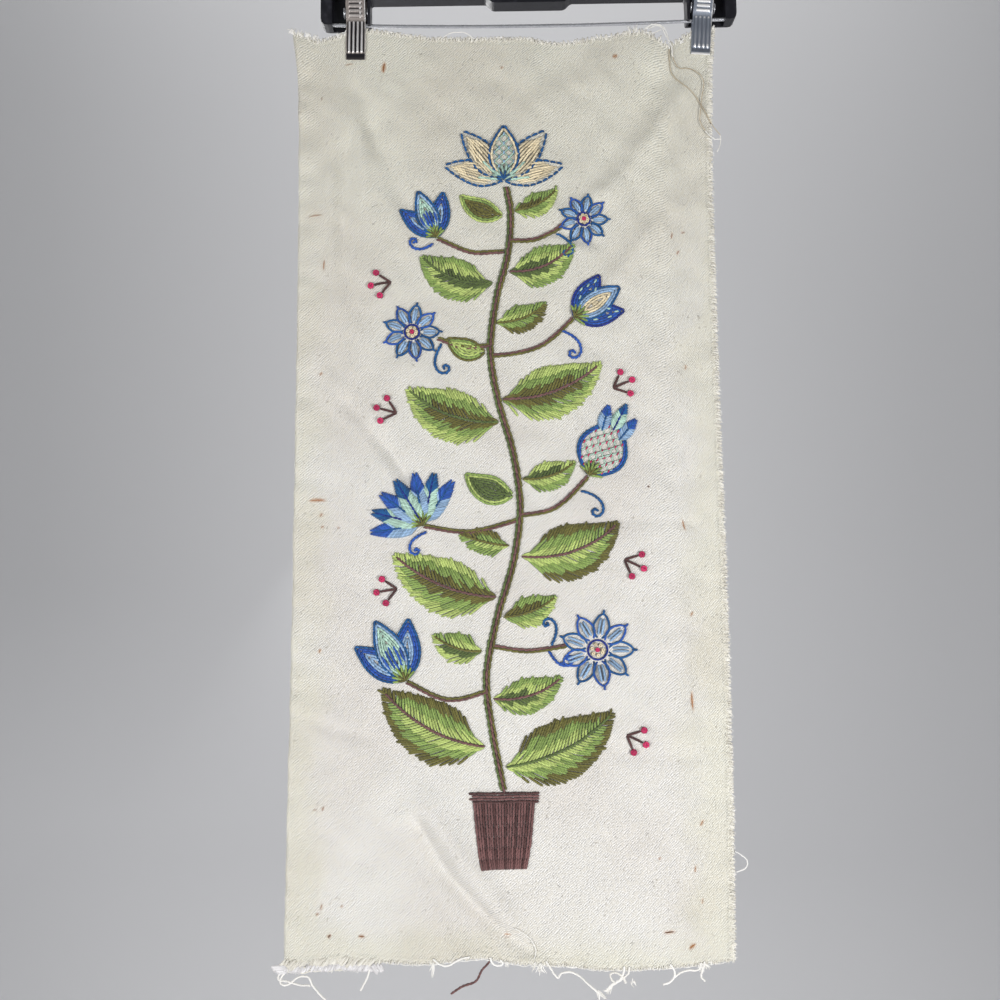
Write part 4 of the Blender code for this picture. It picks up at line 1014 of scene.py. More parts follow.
def pot_half_width(z):
    """Half width of the pot at a height."""
    share = (z - POT_BOTTOM) / (POT_TOP - POT_BOTTOM)
    return 0.5 * (POT_BOTTOM_WIDTH + (POT_TOP_WIDTH - POT_BOTTOM_WIDTH) * share ** 0.7)


needle = np.random.default_rng(21)
pot_jobs = []
pot_columns = round(0.5 * (POT_TOP_WIDTH + POT_BOTTOM_WIDTH) / YARN_WIDTH)
for column in range(pot_columns):
    across = 2.0 * (column + 0.5) / pot_columns - 1.0
    heights = np.linspace(POT_TOP - POT_RIM + 0.0022, POT_BOTTOM, 30)
    upright = np.stack((DESIGN_X + across * (pot_half_width(heights) - POT_SIDE_INSET), heights), axis=1)
    wool = "dark_brown" if column % 4 == 3 else "brown"
    pot_jobs.append(stitch_row(wool, upright, POT_STITCH, needle, offset=0.004 * (column % 2), shift=0.0001))
    pot_jobs.append(stitch_row(wool, upright[:8], 0.0060, needle, over=-0.0003))
for row in range(RIM_ROWS):
    height = POT_TOP - 0.0012 - row * YARN_WIDTH * 1.05
    half = pot_half_width(height) + RIM_OVERHANG
    rim = np.array([(DESIGN_X - half, height), (DESIGN_X + half, height)])
    wool = "dark_brown" if row in (0, RIM_ROWS - 1) else "brown"
    pot_jobs.append(stitch_row(wool, rim, RIM_STITCH, needle, offset=0.0025 * (row % 2), over=0.0003))
sew("pot_stitches", pot_jobs, "brown_wool", 31, "pot")

# The winding stem and the thin stalks that carry the flowers, sewn in stem stitch:
# three rows of wool side by side for the stem and two for each stalk.
STEM_POINTS = [(0.000, -0.7865), (-0.010, -0.735), (-0.015, -0.690), (-0.006, -0.640),
               (0.008, -0.592), (0.014, -0.545), (0.008, -0.498), (-0.005, -0.452),
               (-0.012, -0.408), (-0.007, -0.362), (0.003, -0.322), (0.006, -0.285),
               (0.002, -0.258)]
STALKS = [
    [(-0.014, -0.702), (-0.048, -0.709), (-0.083, -0.694)],
    [(-0.009, -0.664), (0.020, -0.668), (0.0535, -0.6635)],
    [(0.011, -0.556), (-0.030, -0.566), (-0.069, -0.561)],
    [(0.013, -0.552), (0.045, -0.545), (0.073, -0.518)],
    [(-0.012, -0.402), (-0.035, -0.404), (-0.058, -0.396)],
    [(-0.011, -0.412), (0.030, -0.404), (0.061, -0.378)],
    [(0.000, -0.318), (-0.030, -0.318), (-0.059, -0.305)],
    [(0.004, -0.308), (0.030, -0.306), (0.052, -0.294)],
]


def design_line(points, steps=8):
    """A smooth line through points given from the design's axis."""
    return smooth_line([(DESIGN_X + x, z) for x, z in points], steps)


def beside(line, distance):
    """A line moved sideways by a distance."""
    way = np.gradient(line, axis=0)
    way /= np.linalg.norm(way, axis=1, keepdims=True)
    return line + distance * np.stack((-way[:, 1], way[:, 0]), axis=1)


STEM_STITCH = 0.0064
STALK_STITCH = 0.0052
stem_line = design_line(STEM_POINTS)
stem_jobs = [stitch_row(wool, beside(stem_line, row * YARN_WIDTH * 0.92), STEM_STITCH, needle,
                        offset=0.002 * abs(row), shift=0.00045, over=0.0004 * (row == 0))
             for row, wool in ((-1, "olive"), (1, "moss"), (0, "brown"))]
sew("stem_stitches", stem_jobs, "olive_wool", 32, "stem")
stalk_jobs = [stitch_row(wool, beside(design_line(points), side * YARN_WIDTH * 0.45), STALK_STITCH,
                         needle, shift=0.0004)
              for points in STALKS for side, wool in ((-1, "olive"), (1, "brown"))]
sew("stalk_stitches", stalk_jobs, "olive_wool", 33)

# The tail of a brown wool, left long at the back, hangs out below the hem. Its two
# plies are twisted round each other.
TAIL_POINTS = [(-0.030, -0.9050), (-0.0321, -0.9228), (-0.0396, -0.9317), (-0.0446, -0.9398),
               (-0.0555, -0.9438), (-0.0647, -0.9494)]
TAIL_PLY = 0.00085
TAIL_LENGTH = 0.052
TAIL_TWIST = 0.0062
tail = smooth_line(TAIL_POINTS, 12)
tail_turns = math.tau * TAIL_LENGTH * np.linspace(0.0, 1.0, len(tail)) / TAIL_TWIST
tail_back = cloth_depth(tail[:, 0], tail[:, 1]) + 0.5 * CLOTH_THICKNESS + 2.0 * TAIL_PLY
tail_plies = []
for ply_start in (0.0, math.pi):
    swing = 0.8 * TAIL_PLY * np.sin(tail_turns + ply_start)
    places = np.stack((tail[:, 0] + 0.6 * swing, tail_back + 0.8 * TAIL_PLY * np.cos(tail_turns + ply_start),
                       tail[:, 1] + 0.6 * swing), axis=1)
    tail_plies.append((DYED_WOOLS["brown"], places[None], np.full(len(tail), TAIL_PLY)))
lay_yarns("brown_tail", tail_plies, 34, "brown_wool")

# Leaves: long and short stitches that slant out from the midrib, or rows that
# follow the outline, in bands of light and dark green.
LEAVES = [
    # x, z, heading, length, width, turn
    (-0.0165, -0.748, 174, 0.104, 0.052, -46),
    (-0.0195, -0.668, 184, 0.046, 0.026, -46),
    (-0.0070, -0.622, 178, 0.100, 0.048, -42),
    (0.0040, -0.578, 176, 0.046, 0.022, -20),
    (0.0080, -0.534, 178, 0.048, 0.026, -46),
    (-0.0050, -0.470, 184, 0.090, 0.046, -50),
    (-0.0165, -0.408, 184, 0.038, 0.021, -50),
    (-0.0105, -0.346, 188, 0.072, 0.038, -60),
    (-0.0010, -0.284, 178, 0.045, 0.022, -50),
    (0.0020, -0.765, 6, 0.106, 0.052, 42),
    (-0.0085, -0.708, -8, 0.064, 0.030, 52),
    (0.0000, -0.639, 2, 0.050, 0.026, 40),
    (0.0155, -0.587, -8, 0.094, 0.048, 56),
    (0.0165, -0.520, -6, 0.050, 0.026, 50),
    (-0.0010, -0.450, -2, 0.096, 0.047, 46),
    (-0.0065, -0.382, -2, 0.050, 0.025, 50),
    (0.0050, -0.336, -4, 0.066, 0.034, 58),
    (0.0100, -0.280, 4, 0.045, 0.022, 52),
]
LARGE_LEAF = 0.06
LEAF_BANDS = [("olive", "leaf", "lime"), ("lime", "leaf", "olive"), ("moss", "lime", "leaf")]
SLANT = math.radians(40.0)
BAND_WIDTH = 0.0068
BAND_OVERLAP = 0.02
LEAF_STITCH = 0.0046
MIDRIB_STITCH = 0.0050


def leaf_half_width(t, width):
    """Half width of a leaf or petal at t from base to tip."""
    swell = np.sin(math.pi * np.clip(t, 0.02, 0.985) ** 0.82)
    return 0.5 * width * np.maximum(0.05, swell) ** 0.9


def on_leaf(leaf, t, b):
    """Places in x and z at t from base to tip and b from the midrib to a side."""
    x, z, heading, length, width, turn = leaf
    facing = math.radians(heading)
    bend = math.radians(turn) or 1e-6
    angle = facing + bend * t
    spread = b * leaf_half_width(t, width)
    along_x = length * (np.sin(angle) - math.sin(facing)) / bend
    along_z = length * (math.cos(facing) - np.cos(angle)) / bend
    return np.stack((x + along_x - np.sin(angle) * spread, z + along_z + np.cos(angle) * spread), axis=-1)


def slanted_bands(leaf, wools, side, draw):
    """Long and short stitches from the midrib to one side, a band for each wool."""
    length, width, turn = leaf[3:]
    spread = max(1.0, 1.0 - side * math.radians(turn) * 0.45 * width / length)
    roots = np.arange(-0.34, 0.97, YARN_WIDTH / math.sin(SLANT) / length / spread)
    ends = roots + 0.1
    for _ in range(30):
        ends = 0.5 * (ends + roots + leaf_half_width(ends, width) / math.tan(SLANT) / length)
    jobs = {wool: ([], []) for wool in wools}
    for root, end in zip(roots, ends):
        first = max(0.03, -root / max(end - root, 1e-6) + 0.02)
        if end < 0.03 or end > 0.995 or first > 0.95:
            continue

        def along(share):
            share = first + (1.0 - first) * share
            return on_leaf(leaf, root + (end - root) * share, side * share)

        reach = np.linalg.norm(along(1.0) - along(0.0))
        count = min(len(wools), max(1, round(reach / BAND_WIDTH)))
        breaks = np.linspace(0.0, 1.0, count + 1)
        breaks[1:-1] += draw.normal(0.0, 0.075, count - 1)
        breaks[-1] += draw.uniform(-0.03, 0.04) + 0.0028 / reach * (draw.random() < 0.15)
        for band, wool in enumerate(wools[-count:]):
            starts, finishes = jobs[wool]
            low = max(0.0, breaks[band] - BAND_OVERLAP)
            starts.append(along(low))
            finishes.append(along(breaks[band + 1] + 0.03 * (band < count - 1)))
    return [straight(wool, np.array(starts), np.array(finishes), draw)
            for wool, (starts, finishes) in jobs.items() if starts]


def contour_rows(leaf, wools, draw, over=0.0, stitch=LEAF_STITCH):
    """Rows of small stitches along the outline, from the edge inwards, one wool after another."""
    width = leaf[4]
    jobs = []
    for row in range(int(0.5 * width / YARN_WIDTH + 0.4)):
        wool = wools[min(row, len(wools) - 1)]
        distance = (row + 0.5) * YARN_WIDTH
        for side in (-1.0, 1.0):
            t = np.linspace(0.015, 0.98, 120)
            half = leaf_half_width(t, width)
            inside = half > distance + 0.1 * YARN_WIDTH
            if inside.sum() < 4:
                continue
            t, half = t[inside], half[inside]
            line = on_leaf(leaf, t, side * (half - distance) / half)
            jobs.append(stitch_row(wool, line, stitch, draw, over=over, offset=0.45 * stitch * (row % 2)))
    return jobs


def midrib(leaf, wool, draw, low=0.0, high=0.94, over=0.0006):
    """A line of stem stitch up the middle of a leaf."""
    middle = on_leaf(leaf, np.linspace(low, high, 60), 0.0)
    return stitch_row(wool, middle, MIDRIB_STITCH, draw, shift=0.0003, over=over)


for number, row in enumerate(LEAVES, 1):
    leaf = (DESIGN_X + row[0], *row[1:])
    bands = LEAF_BANDS[number % 3]
    if row[3] > LARGE_LEAF:
        jobs = [job for side in (-1.0, 1.0) for job in slanted_bands(leaf, bands, side, needle)]
        jobs.append(midrib(leaf, "brown" if number % 2 else "moss", needle))
    elif number % 2:
        jobs = contour_rows(leaf, (bands[2], bands[1], bands[0]), needle)
        jobs.append(midrib(leaf, bands[0], needle, 0.03, 0.85, 0.0004))
    else:
        jobs = [job for side, wools in ((-1.0, bands[1:]), (1.0, bands[:2]))
                for job in slanted_bands(leaf, wools, side, needle)]
        jobs.append(midrib(leaf, "olive", needle))
    green = "light_green_wool" if number % 2 == 0 else "mid_green_wool"
    sew("leaf_" + str(number) + "_stitches", jobs, green, 40 + number, "leaf_" + str(number))

# Flowers: tulips, daisies, a carnation, a pomegranate, a bellflower and a cream
# crown. Their petals are split-stitch rows, satin, loops or trellis work.
FLOWERS = [
    # kind, x, z, heading, size
    ("tulip", -0.084, -0.693, 118, 1.0),
    ("daisy", 0.080, -0.667, 0, 1.0),
    ("carnation", -0.070, -0.560, 122, 1.0),
    ("pomegranate", 0.074, -0.517, 62, 1.0),
    ("daisy", -0.081, -0.390, 0, 0.78),
    ("bell", 0.062, -0.377, 34, 1.0),
    ("tulip", -0.060, -0.304, 112, 0.8),
    ("daisy", 0.071, -0.288, 0, 0.68),
    ("crown", 0.000, -0.251, 90, 1.0),
]
PETALS = {
    # turn from the heading, start along the turn, length, width, work, wools
    "tulip": [*((turn, 0.0, 0.054, 0.025, "rows", ("teal", "royal", "royal", "sky")) for turn in (-30, 30)),
              (0, 0.0, 0.059, 0.027, "tipped", ("teal", "sky", "aqua", "royal"))],
    "daisy": [(40 * turn, 0.009, 0.024, 0.017, "loop", ("royal" if turn % 2 else "teal", "sky"))
              for turn in range(9)],
    "carnation": [(22 * turn, 0.0, 0.050, 0.016, "satin",
                   ("royal", "sky", "teal") if turn % 2 else ("teal", "aqua", "navy"))
                  for turn in (-3, 3, -2, 2, -1, 1, 0)],
    "pomegranate": [(0, 0.0, 0.056, 0.046, "trellis", ("teal", "royal", "aqua", "berry")),
                    *((turn, 0.040, 0.026, 0.012, "satin", ("royal", "sky", "teal")) for turn in (-12, 12)),
                    (0, 0.044, 0.028, 0.012, "satin", ("teal", "aqua", "navy"))],
    "bell": [*((turn, 0.0, 0.046, 0.023, "flecks", ("navy", "royal", "aqua")) for turn in (-26, 26)),
             (0, 0.0, 0.050, 0.025, "rows", ("teal", "sky", "sky", "cream"))],
    "crown": [*((turn, 0.0, length, width, "cream", ("teal", "cream", "aqua")) for turn, length, width in
                ((-76, 0.056, 0.024), (76, 0.056, 0.024), (-40, 0.060, 0.026), (40, 0.060, 0.026))),
              (0, 0.0, 0.052, 0.029, "trellis", ("teal", "cream", "aqua", "sky"))],
}
LATTICE = 0.0062
FINE_YARN = 0.00070
SPLIT_YARN = 0.00085
KNOT_YARN = 0.00080
KNOT_SIZE = 0.00105
KNOT_TURNS = 2.1
KNOT_STEPS = 15
LOOP_YARN = 0.00100
SATIN_SLANT = 0.16
PETAL_STITCH = 0.0042
TIP_STITCHES = [
    # share of the petal's length, share of its half width, reach
    (0.16, 0.0, 0.42),
    (0.20, -0.30, 0.34),
    (0.20, 0.30, 0.34),
    (0.25, -0.62, 0.22),
    (0.25, 0.62, 0.22),
]
FLECKS = [(0.22, 0.0), (0.36, -0.40), (0.36, 0.40), (0.50, 0.0), (0.50, 0.66), (0.64, -0.42),
          (0.64, 0.40), (0.78, 0.0)]
FLECK_REACH = 0.07


def petal_leaf(flower, petal):
    """A petal as a straight leaf in its place on the cloth."""
    x, z, heading, size = flower[1:]
    turn, start, length, width = petal[:4]
    angle = math.radians(heading + turn)
    return (DESIGN_X + x + start * size * math.cos(angle), z + start * size * math.sin(angle),
            heading + turn, length * size, width * size, 0.0)


def inside_petal(leaf, places, margin=0.0):
    """Which places lie on a straight leaf, less a margin."""
    x, z, heading, length, width = leaf[:5]
    angle = math.radians(heading)
    along = ((places[..., 0] - x) * math.cos(angle) + (places[..., 1] - z) * math.sin(angle)) / length
    across = (places[..., 1] - z) * math.cos(angle) - (places[..., 0] - x) * math.sin(angle)
    return (along > 0.0) & (along < 1.0) & (np.abs(across) < leaf_half_width(along, width) - margin)


def uncovered(job, later):
    """A job without the stitches whose middle lies under a petal worked later."""
    wool, paths, lifts, radii = job
    middle = paths[:, paths.shape[1] // 2]
    keep = np.ones(len(paths), dtype=bool)
    for leaf in later:
        keep &= ~inside_petal(leaf, middle, 0.0006)
    return wool, paths[keep], lifts, radii


def loop_stitch(leaf, wool, draw):
    """A detached chain: one loop along the petal's edge, tied down at its tip."""
    t = np.concatenate((np.linspace(0.05, 0.93, 9), np.linspace(0.93, 0.05, 9)[1:]))
    side = np.concatenate((np.full(9, 0.80), np.full(8, -0.80)))
    side[8] = 0.0
    lifts = 0.9 * LOOP_YARN * np.concatenate(([-0.6], np.ones(15), [-0.6]))
    below, above = on_leaf(leaf, np.array([[0.88], [1.05]]), 0.0)
    return [(wool, on_leaf(leaf, t, side)[None], lifts, np.full(17, LOOP_YARN)),
            straight(wool, below, above, draw, LOOP_YARN, 0.0007)]


def knots(wool, places, draw, radius=KNOT_YARN, size=KNOT_SIZE):
    """Knots: a yarn wound twice round the needle and drawn down."""
    wind = np.linspace(0.0, KNOT_TURNS * math.tau, KNOT_STEPS)
    reach = size * np.concatenate(([0.2], np.ones(KNOT_STEPS - 2), [0.1]))
    start = draw.uniform(0.0, math.tau, len(places))[:, None]
    paths = np.stack((places[:, :1] + reach * np.cos(wind + start),
                      places[:, 1:] + reach * np.sin(wind + start)), axis=2)
    rise = radius * np.linspace(0.5, 2.4, KNOT_STEPS)
    rise[0] = -radius
    return wool, paths, rise, np.full(KNOT_STEPS, radius)


def toward(heading):
    """One step in x and z at a heading in degrees."""
    return np.array([math.cos(math.radians(heading)), math.sin(math.radians(heading))])


def lattice(leaf, wool, tie_wool, draw):
    """Laid yarns crossing in a trellis, tied down where they cross."""
    heading, length = leaf[2:4]
    middle = on_leaf(leaf, 0.5, 0.0)
    reach = 0.6 * length
    offsets = np.arange(-reach, reach, LATTICE)
    ways = [toward(heading + 45), toward(heading - 45)]
    jobs = []
    for level, (way, other) in enumerate((ways, ways[::-1])):
        starts, ends = [], []
        for offset in offsets:
            line = middle + other * offset + way * np.linspace(-reach, reach, 160)[:, None]
            kept = line[inside_petal(leaf, line, 0.0026)]
            if len(kept) > 4:
                starts.append(kept[0])
                ends.append(kept[-1])
        jobs.append(straight(wool, np.array(starts), np.array(ends), draw, FINE_YARN, 0.0005 * level))
    grid = (middle + ways[0] * offsets[:, None, None] + ways[1] * offsets[:, None]).reshape(-1, 2)
    grid = grid[inside_petal(leaf, grid, 0.0034)]
    tie = 0.0012 * toward(heading)
    jobs.append(straight(tie_wool, grid - tie, grid + tie, draw, FINE_YARN, 0.0013))
    return jobs


def satin(leaf, wools, draw, over):
    """Close stitches from a petal's middle to its two edges in two colours, under a split line."""
    t = np.arange(0.08, 0.96 - SATIN_SLANT, 0.92 * YARN_WIDTH / leaf[3])
    t += draw.normal(0.0, 0.002, len(t))
    jobs = [straight(wool, on_leaf(leaf, part, 0.0), on_leaf(leaf, part + SATIN_SLANT, side), draw, over=over)
            for wool, part in ((wools[0], t[t > 0.52]), (wools[1], t[t <= 0.52])) for side in (-1.0, 1.0)]
    middle = on_leaf(leaf, np.linspace(0.04, 0.86, 30), 0.0)
    return jobs + [stitch_row(wools[2], middle, PETAL_STITCH, draw, radius=SPLIT_YARN, over=over + 0.0006)]


def work_petal(leaf, work, wools, draw, over):
    """The stitches of one petal."""
    if work == "rows":
        return contour_rows(leaf, wools, draw, over, PETAL_STITCH)
    if work == "tipped":
        t, b, reach = np.array(TIP_STITCHES).T
        tips = on_leaf(leaf, t + reach, b)
        return (contour_rows(leaf, wools[:3], draw, over, PETAL_STITCH)
                + [straight(wools[3], on_leaf(leaf, t, b), tips, draw, over=over + 0.0010)])
    if work == "satin":
        return satin(leaf, wools, draw, over)
    if work == "flecks":
        t, b = np.array(FLECKS).T
        tips = on_leaf(leaf, t + FLECK_REACH, b)
        return (contour_rows(leaf, wools[:2], draw, over, PETAL_STITCH)
                + [straight(wools[2], on_leaf(leaf, t, b), tips, draw, SPLIT_YARN, over + 0.0012)])
    if work == "cream":
        edge = np.linspace(0.02, 0.98, 80)
        jobs = [stitch_row(wools[0], on_leaf(leaf, edge, side), 0.0044, draw, gap=0.0016, over=over)
                for side in (-0.94, 0.94)]
        for fan in np.linspace(-0.66, 0.66, 7):
            t = np.linspace(0.12 + 0.16 * abs(fan), 0.88 - 0.26 * abs(fan), 20)
            jobs.append(stitch_row(wools[1], on_leaf(leaf, t, fan), 0.0125, draw, over=over))
        t = np.linspace(0.10, 0.40, 12)
        return jobs + [stitch_row(wools[2], on_leaf(leaf, t, side), 0.0050, draw, over=over + 0.0008)
                       for side in (-0.30, 0.30)]
    if work == "loop":
        b = np.array([-0.26, 0.26])
        filling = straight(wools[1], on_leaf(leaf, 0.16, b), on_leaf(leaf, 0.76, b), draw, 0.00112, over)
        return loop_stitch(leaf, wools[0], draw) + [filling]
    return lattice(leaf, wools[2], wools[3], draw) + contour_rows(leaf, wools[:2], draw, over, 0.0044)[:4]


def work_heart(kind, flower, draw):
    """The calyx or eye of a flower."""
    x, z, heading, size = flower[1:]
    middle = np.array([DESIGN_X + x, z])
    if kind == "daisy":
        ring = size * np.array([toward(turn) for turn in np.linspace(0.0, 360.0, 40)])
        return [stitch_row("navy", middle + 0.0085 * ring, 0.0036, draw, radius=0.00095),
                knots("cream", middle + 0.0048 * ring[:-1:6], draw),
                knots("berry", middle[None], draw, 0.0010, 0.0012)]
    spread = np.linspace(-70, 70, 8)
    base = np.repeat(middle[None], len(spread), axis=0)
    reach = np.array([(0.0150 - 0.00005 * abs(turn)) * size * toward(heading + turn) for turn in spread])
    under, vein = ("aqua", "teal") if kind == "crown" else ("leaf", "olive")
    return [straight(under, base, base + reach, draw, over=0.0014),
            straight(vein, base[1::2], (base + 0.6 * reach)[1::2], draw, 0.0009, 0.0028)]


for number, flower in enumerate(FLOWERS, 1):
    kind = flower[0]
    petals = [petal_leaf(flower, petal) for petal in PETALS[kind]]
    jobs = []
    for index, (petal, leaf) in enumerate(zip(PETALS[kind], petals)):
        worked = work_petal(leaf, petal[4], petal[5], needle, 0.0002 * index)
        jobs += [uncovered(job, petals[index + 1:]) for job in worked] if kind != "daisy" else worked
    jobs += work_heart(kind, flower, needle)
    sew("flower_" + str(number) + "_stitches", jobs, "cream_wool" if kind == "crown" else "blue_wool",
        70 + number, "flower_" + str(number))

# Tendrils and berries: curls of stem stitch in blue, and crimson berries, each a ring
# of wool round a knot on a brown stalk, worked on the cloth between the motifs.
TENDRILS = [
    # x, z, heading, length, turn, wool
    (-0.062, -0.310, 212, 0.056, -1, "royal"),
    (0.046, -0.301, 335, 0.062, -1, "teal"),
    (-0.054, -0.400, 238, 0.070, 1, "teal"),
    (0.050, -0.388, 335, 0.074, -1, "royal"),
    (0.066, -0.530, 345, 0.072, -1, "teal"),
    (-0.066, -0.566, 200, 0.060, 1, "royal"),
    (0.040, -0.664, 62, 0.062, 1, "teal"),
    (0.038, -0.667, 298, 0.060, 1, "royal"),
]
BERRIES = [
    # x, z, heading
    (-0.100, -0.345, 190),
    (0.096, -0.440, 25),
    (-0.094, -0.462, 165),
    (0.104, -0.590, 335),
    (-0.092, -0.615, 190),
    (0.104, -0.739, 335),
]
BERRY_STALKS = {
    # turn from the heading: length
    -42.0: 0.0125,
    0.0: 0.0150,
    42.0: 0.0125,
}
BERRY_REACH = 0.0030
CURL_STITCH = 0.0034
CURL_YARN = 0.00112


def tendril(x, z, heading, length, turn):
    """A line that leaves at a heading and winds into a curl."""
    share = np.linspace(0.0, 1.0, 60)
    angle = math.radians(heading) + turn * (0.4 * share + 7.2 * share ** 2.2)
    step = length / 60.0 * (1.0 - 0.55 * share)
    steps = step * np.stack((np.cos(angle), np.sin(angle)))
    return np.array([DESIGN_X + x, z]) + np.cumsum(steps, axis=1).T


extra_jobs = [stitch_row(wool, tendril(*curl), CURL_STITCH, needle, radius=CURL_YARN, shift=0.0005)
              for *curl, wool in TENDRILS]
for x, z, heading in BERRIES:
    root = np.array([[DESIGN_X + x, z]])
    for turn, stalk in BERRY_STALKS.items():
        way = toward(heading + turn)
        berry = root + way * stalk + way * BERRY_REACH
        extra_jobs += [straight("dark_brown", root, root + way * stalk, needle, over=0.0002),
                       knots("berry", berry, needle, 0.00105, 0.0021),
                       knots("berry", berry, needle, 0.00100, 0.0007)]
sew("curls_and_berries", extra_jobs, "blue_wool", 91)

# The hanger: a black moulding with a forked recess at each end, a plated rod that
# the clips slide on, and a plated wire hook.
HANGER_TILT = math.radians(0.9)
ROD_RADIUS = 0.0015
ROD_END_HEIGHT = -0.101
ROD_SAG = 0.0038
ROD_END = 0.1845
HOOK_RADIUS = 0.022
HOOK_WIRE_RADIUS = 0.0019
BOSS_TOP = -0.059
SHANK_DEPTH = 0.012
tilted = Matrix.Rotation(-HANGER_TILT, 4, "Y")

plastic, plastic_tree, plastic_shader = new_finish("black_moulding", 0.38)
plastic_place = own_place(plastic_tree)
dust = noise(plastic_place, 140.0, 4.0)
feed(blend(ramp(dust, 0.45, 0.8), dyed(26, 26, 32), dyed(44, 44, 52)), plastic_shader.inputs["Base Color"])
feed(ramp(dust, 0.3, 0.8, 0.30, 0.52), plastic_shader.inputs["Roughness"])
raise_surface(plastic_shader, noise(plastic_place, 1500.0), 0.00004)
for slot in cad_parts["hanger_moulding"].material_slots:
    slot.material = plastic

plated, plated_tree, plated_shader = new_finish("bright_plating", 0.24, metallic=0.72)
scuffs = noise(stretched(own_place(plated_tree), (120.0, 900.0, 900.0)), 1.0, 4.0)
feed(blend(ramp(scuffs, 0.3, 0.8), dyed(214, 215, 219), dyed(172, 174, 180)),
     plated_shader.inputs["Base Color"])
feed(ramp(scuffs, 0.35, 0.8, 0.16, 0.38), plated_shader.inputs["Roughness"])

PLAIN_TONE = 0.42
# Painted highlight on the crests and painted shade in the grooves of the pressed plate.
PAINTED_CREST_HIGHLIGHT = dyed(255, 253, 252)
PAINTED_GROOVE_SHADE = dyed(24, 24, 34)


def pressed_plate(name, low, high):
    """Plated strip brushed lengthwise, with painted shade in its grooves and painted highlights on its
    crests.
    """
    finish, tree, shader = new_finish(name, 0.36, metallic=0.55)
    dark = carried(tree, "dark")
    brushed = noise(stretched(own_map(tree, "weave"), (90.0, 5.0, 1.0)), 1.0, 3.0)
    plain = blend(ramp(brushed, 0.3, 0.7), low, high)
    lit = blend(ramp(dark, 0.0, PLAIN_TONE), PAINTED_CREST_HIGHLIGHT, plain)
    feed(blend(ramp(dark, PLAIN_TONE, 1.0), lit, PAINTED_GROOVE_SHADE), shader.inputs["Base Color"])
    return finish


# Painted reflections: both clips are the same plated steel, and their plain colours, warm on the left and
# cool on the right, stand in for what each reflects.
PLATES = {"left": pressed_plate("left_plate_painted_light", dyed(136, 128, 124), dyed(184, 174, 168)),
          "right": pressed_plate("right_plate_painted_light", dyed(130, 137, 150), dyed(168, 175, 187))}


def bend_wire(name, points, radius, slot, *nodes):
    """A round plated wire along points."""
    curve = bpy.data.curves.new(name, "CURVE")
    curve.dimensions = "3D"
    curve.bevel_depth = radius
    curve.bevel_resolution = 5
    curve.use_fill_caps = True
    spline = curve.splines.new("POLY")
    spline.points.add(len(points) - 1)
    for point, place in zip(spline.points, points):
        point.co = (*place, 1.0)
    spline.use_smooth = True
    curve.materials.append(plated)
    return add_piece(name, curve, slot, *nodes)


def rod_height(x):
    """Height of the rod's middle, which sags under the cloth."""
    return ROD_END_HEIGHT - ROD_SAG * (1.0 - (x / ROD_END) ** 2)


rod_points = [tilted @ Vector((x, 0.0, rod_height(x))) for x in np.linspace(-ROD_END, ROD_END, 61)]
bend_wire("plated_rod", rod_points, ROD_RADIUS, "bright_steel", "clip_rod")
hook_middle = -HOOK_RADIUS + HOOK_WIRE_RADIUS
hook_points = [(HOOK_RADIUS * math.cos(angle), hook_middle + HOOK_RADIUS * math.sin(angle))
               for angle in np.radians(np.linspace(196.0, -50.0, 60))]
NECK_POINTS = [(0.0082, -0.0405), (0.0030, -0.0435), (0.0005, -0.0480), (0.0, -0.0530)]
neck = smooth_line([hook_points[-1], *NECK_POINTS], 6)
hook_points += [tuple(place) for place in neck[1:]] + [(0.0, BOSS_TOP - SHANK_DEPTH)]
bend_wire("wire_hook", [tilted @ Vector((x, 0.0, z)) for x, z in hook_points], HOOK_WIRE_RADIUS,
          "bright_steel", "hook")

# Pinch clips: two jaws pressed from plated strip, fluted for stiffness, ribbed for
# the fingers, and held shut by a coil spring over the rod.
CLIP_WIDTH = 0.0175
GRIP_GAP = 0.00095
JAW_PROFILE = [
    # height over the rod, front jaw's inner gap, back jaw's inner gap
    (0.0270, 0.0092, 0.0060),
    (0.0210, 0.0082, 0.0060),
    (0.0165, 0.0070, 0.0059),
    (0.0116, 0.0054, 0.0056),
    (0.0060, 0.0038, 0.0040),
    (0.0032, 0.0016, 0.0016),
    (0.0000, 0.00185, 0.00185),
    (-0.0032, 0.0016, 0.0016),
    (-0.0100, 0.0020, 0.0020),
    (-0.0200, 0.0022, 0.0022),
    (-0.0270, 0.0017, 0.0017),
    (-0.0296, GRIP_GAP, GRIP_GAP),
    (-0.0330, GRIP_GAP, GRIP_GAP),
]
PROFILE_EASE = 0.0024
JAW_METAL = 0.0008
FLUTES = 4
FLUTE_DEPTH = 0.0009
FLUTE_TOP = 0.0029
FLUTE_BOTTOM = -0.0275
RIB_PITCH = 0.00375
RIB_START = 0.0052
RIB_END = 0.0250
RIB_DEPTH = 0.0005
LIP_TOP = -0.0268
RIM_TOP = -0.0308
SIDE_ROLL = 0.0011
PAINTED_PLATE_LIGHT = {
    # painted light on the grooves, flutes, ribs, lines between ribs, dots on the lines, lip, rim: 0 is a
    # painted highlight, 1 painted shade
    "left": (0.92, 0.0, 0.30, 0.92, 0.0, 0.92, 0.86),
    "right": (0.60, 0.30, 0.08, 0.62, 0.62, 0.70, 0.0),
}
SPRING_HEIGHT = 0.0116
SPRING_RADIUS = 0.0043
SPRING_WIRE = 0.0006
SPRING_HALF_WIDTH = 0.0106
SPRING_TURNS = 4


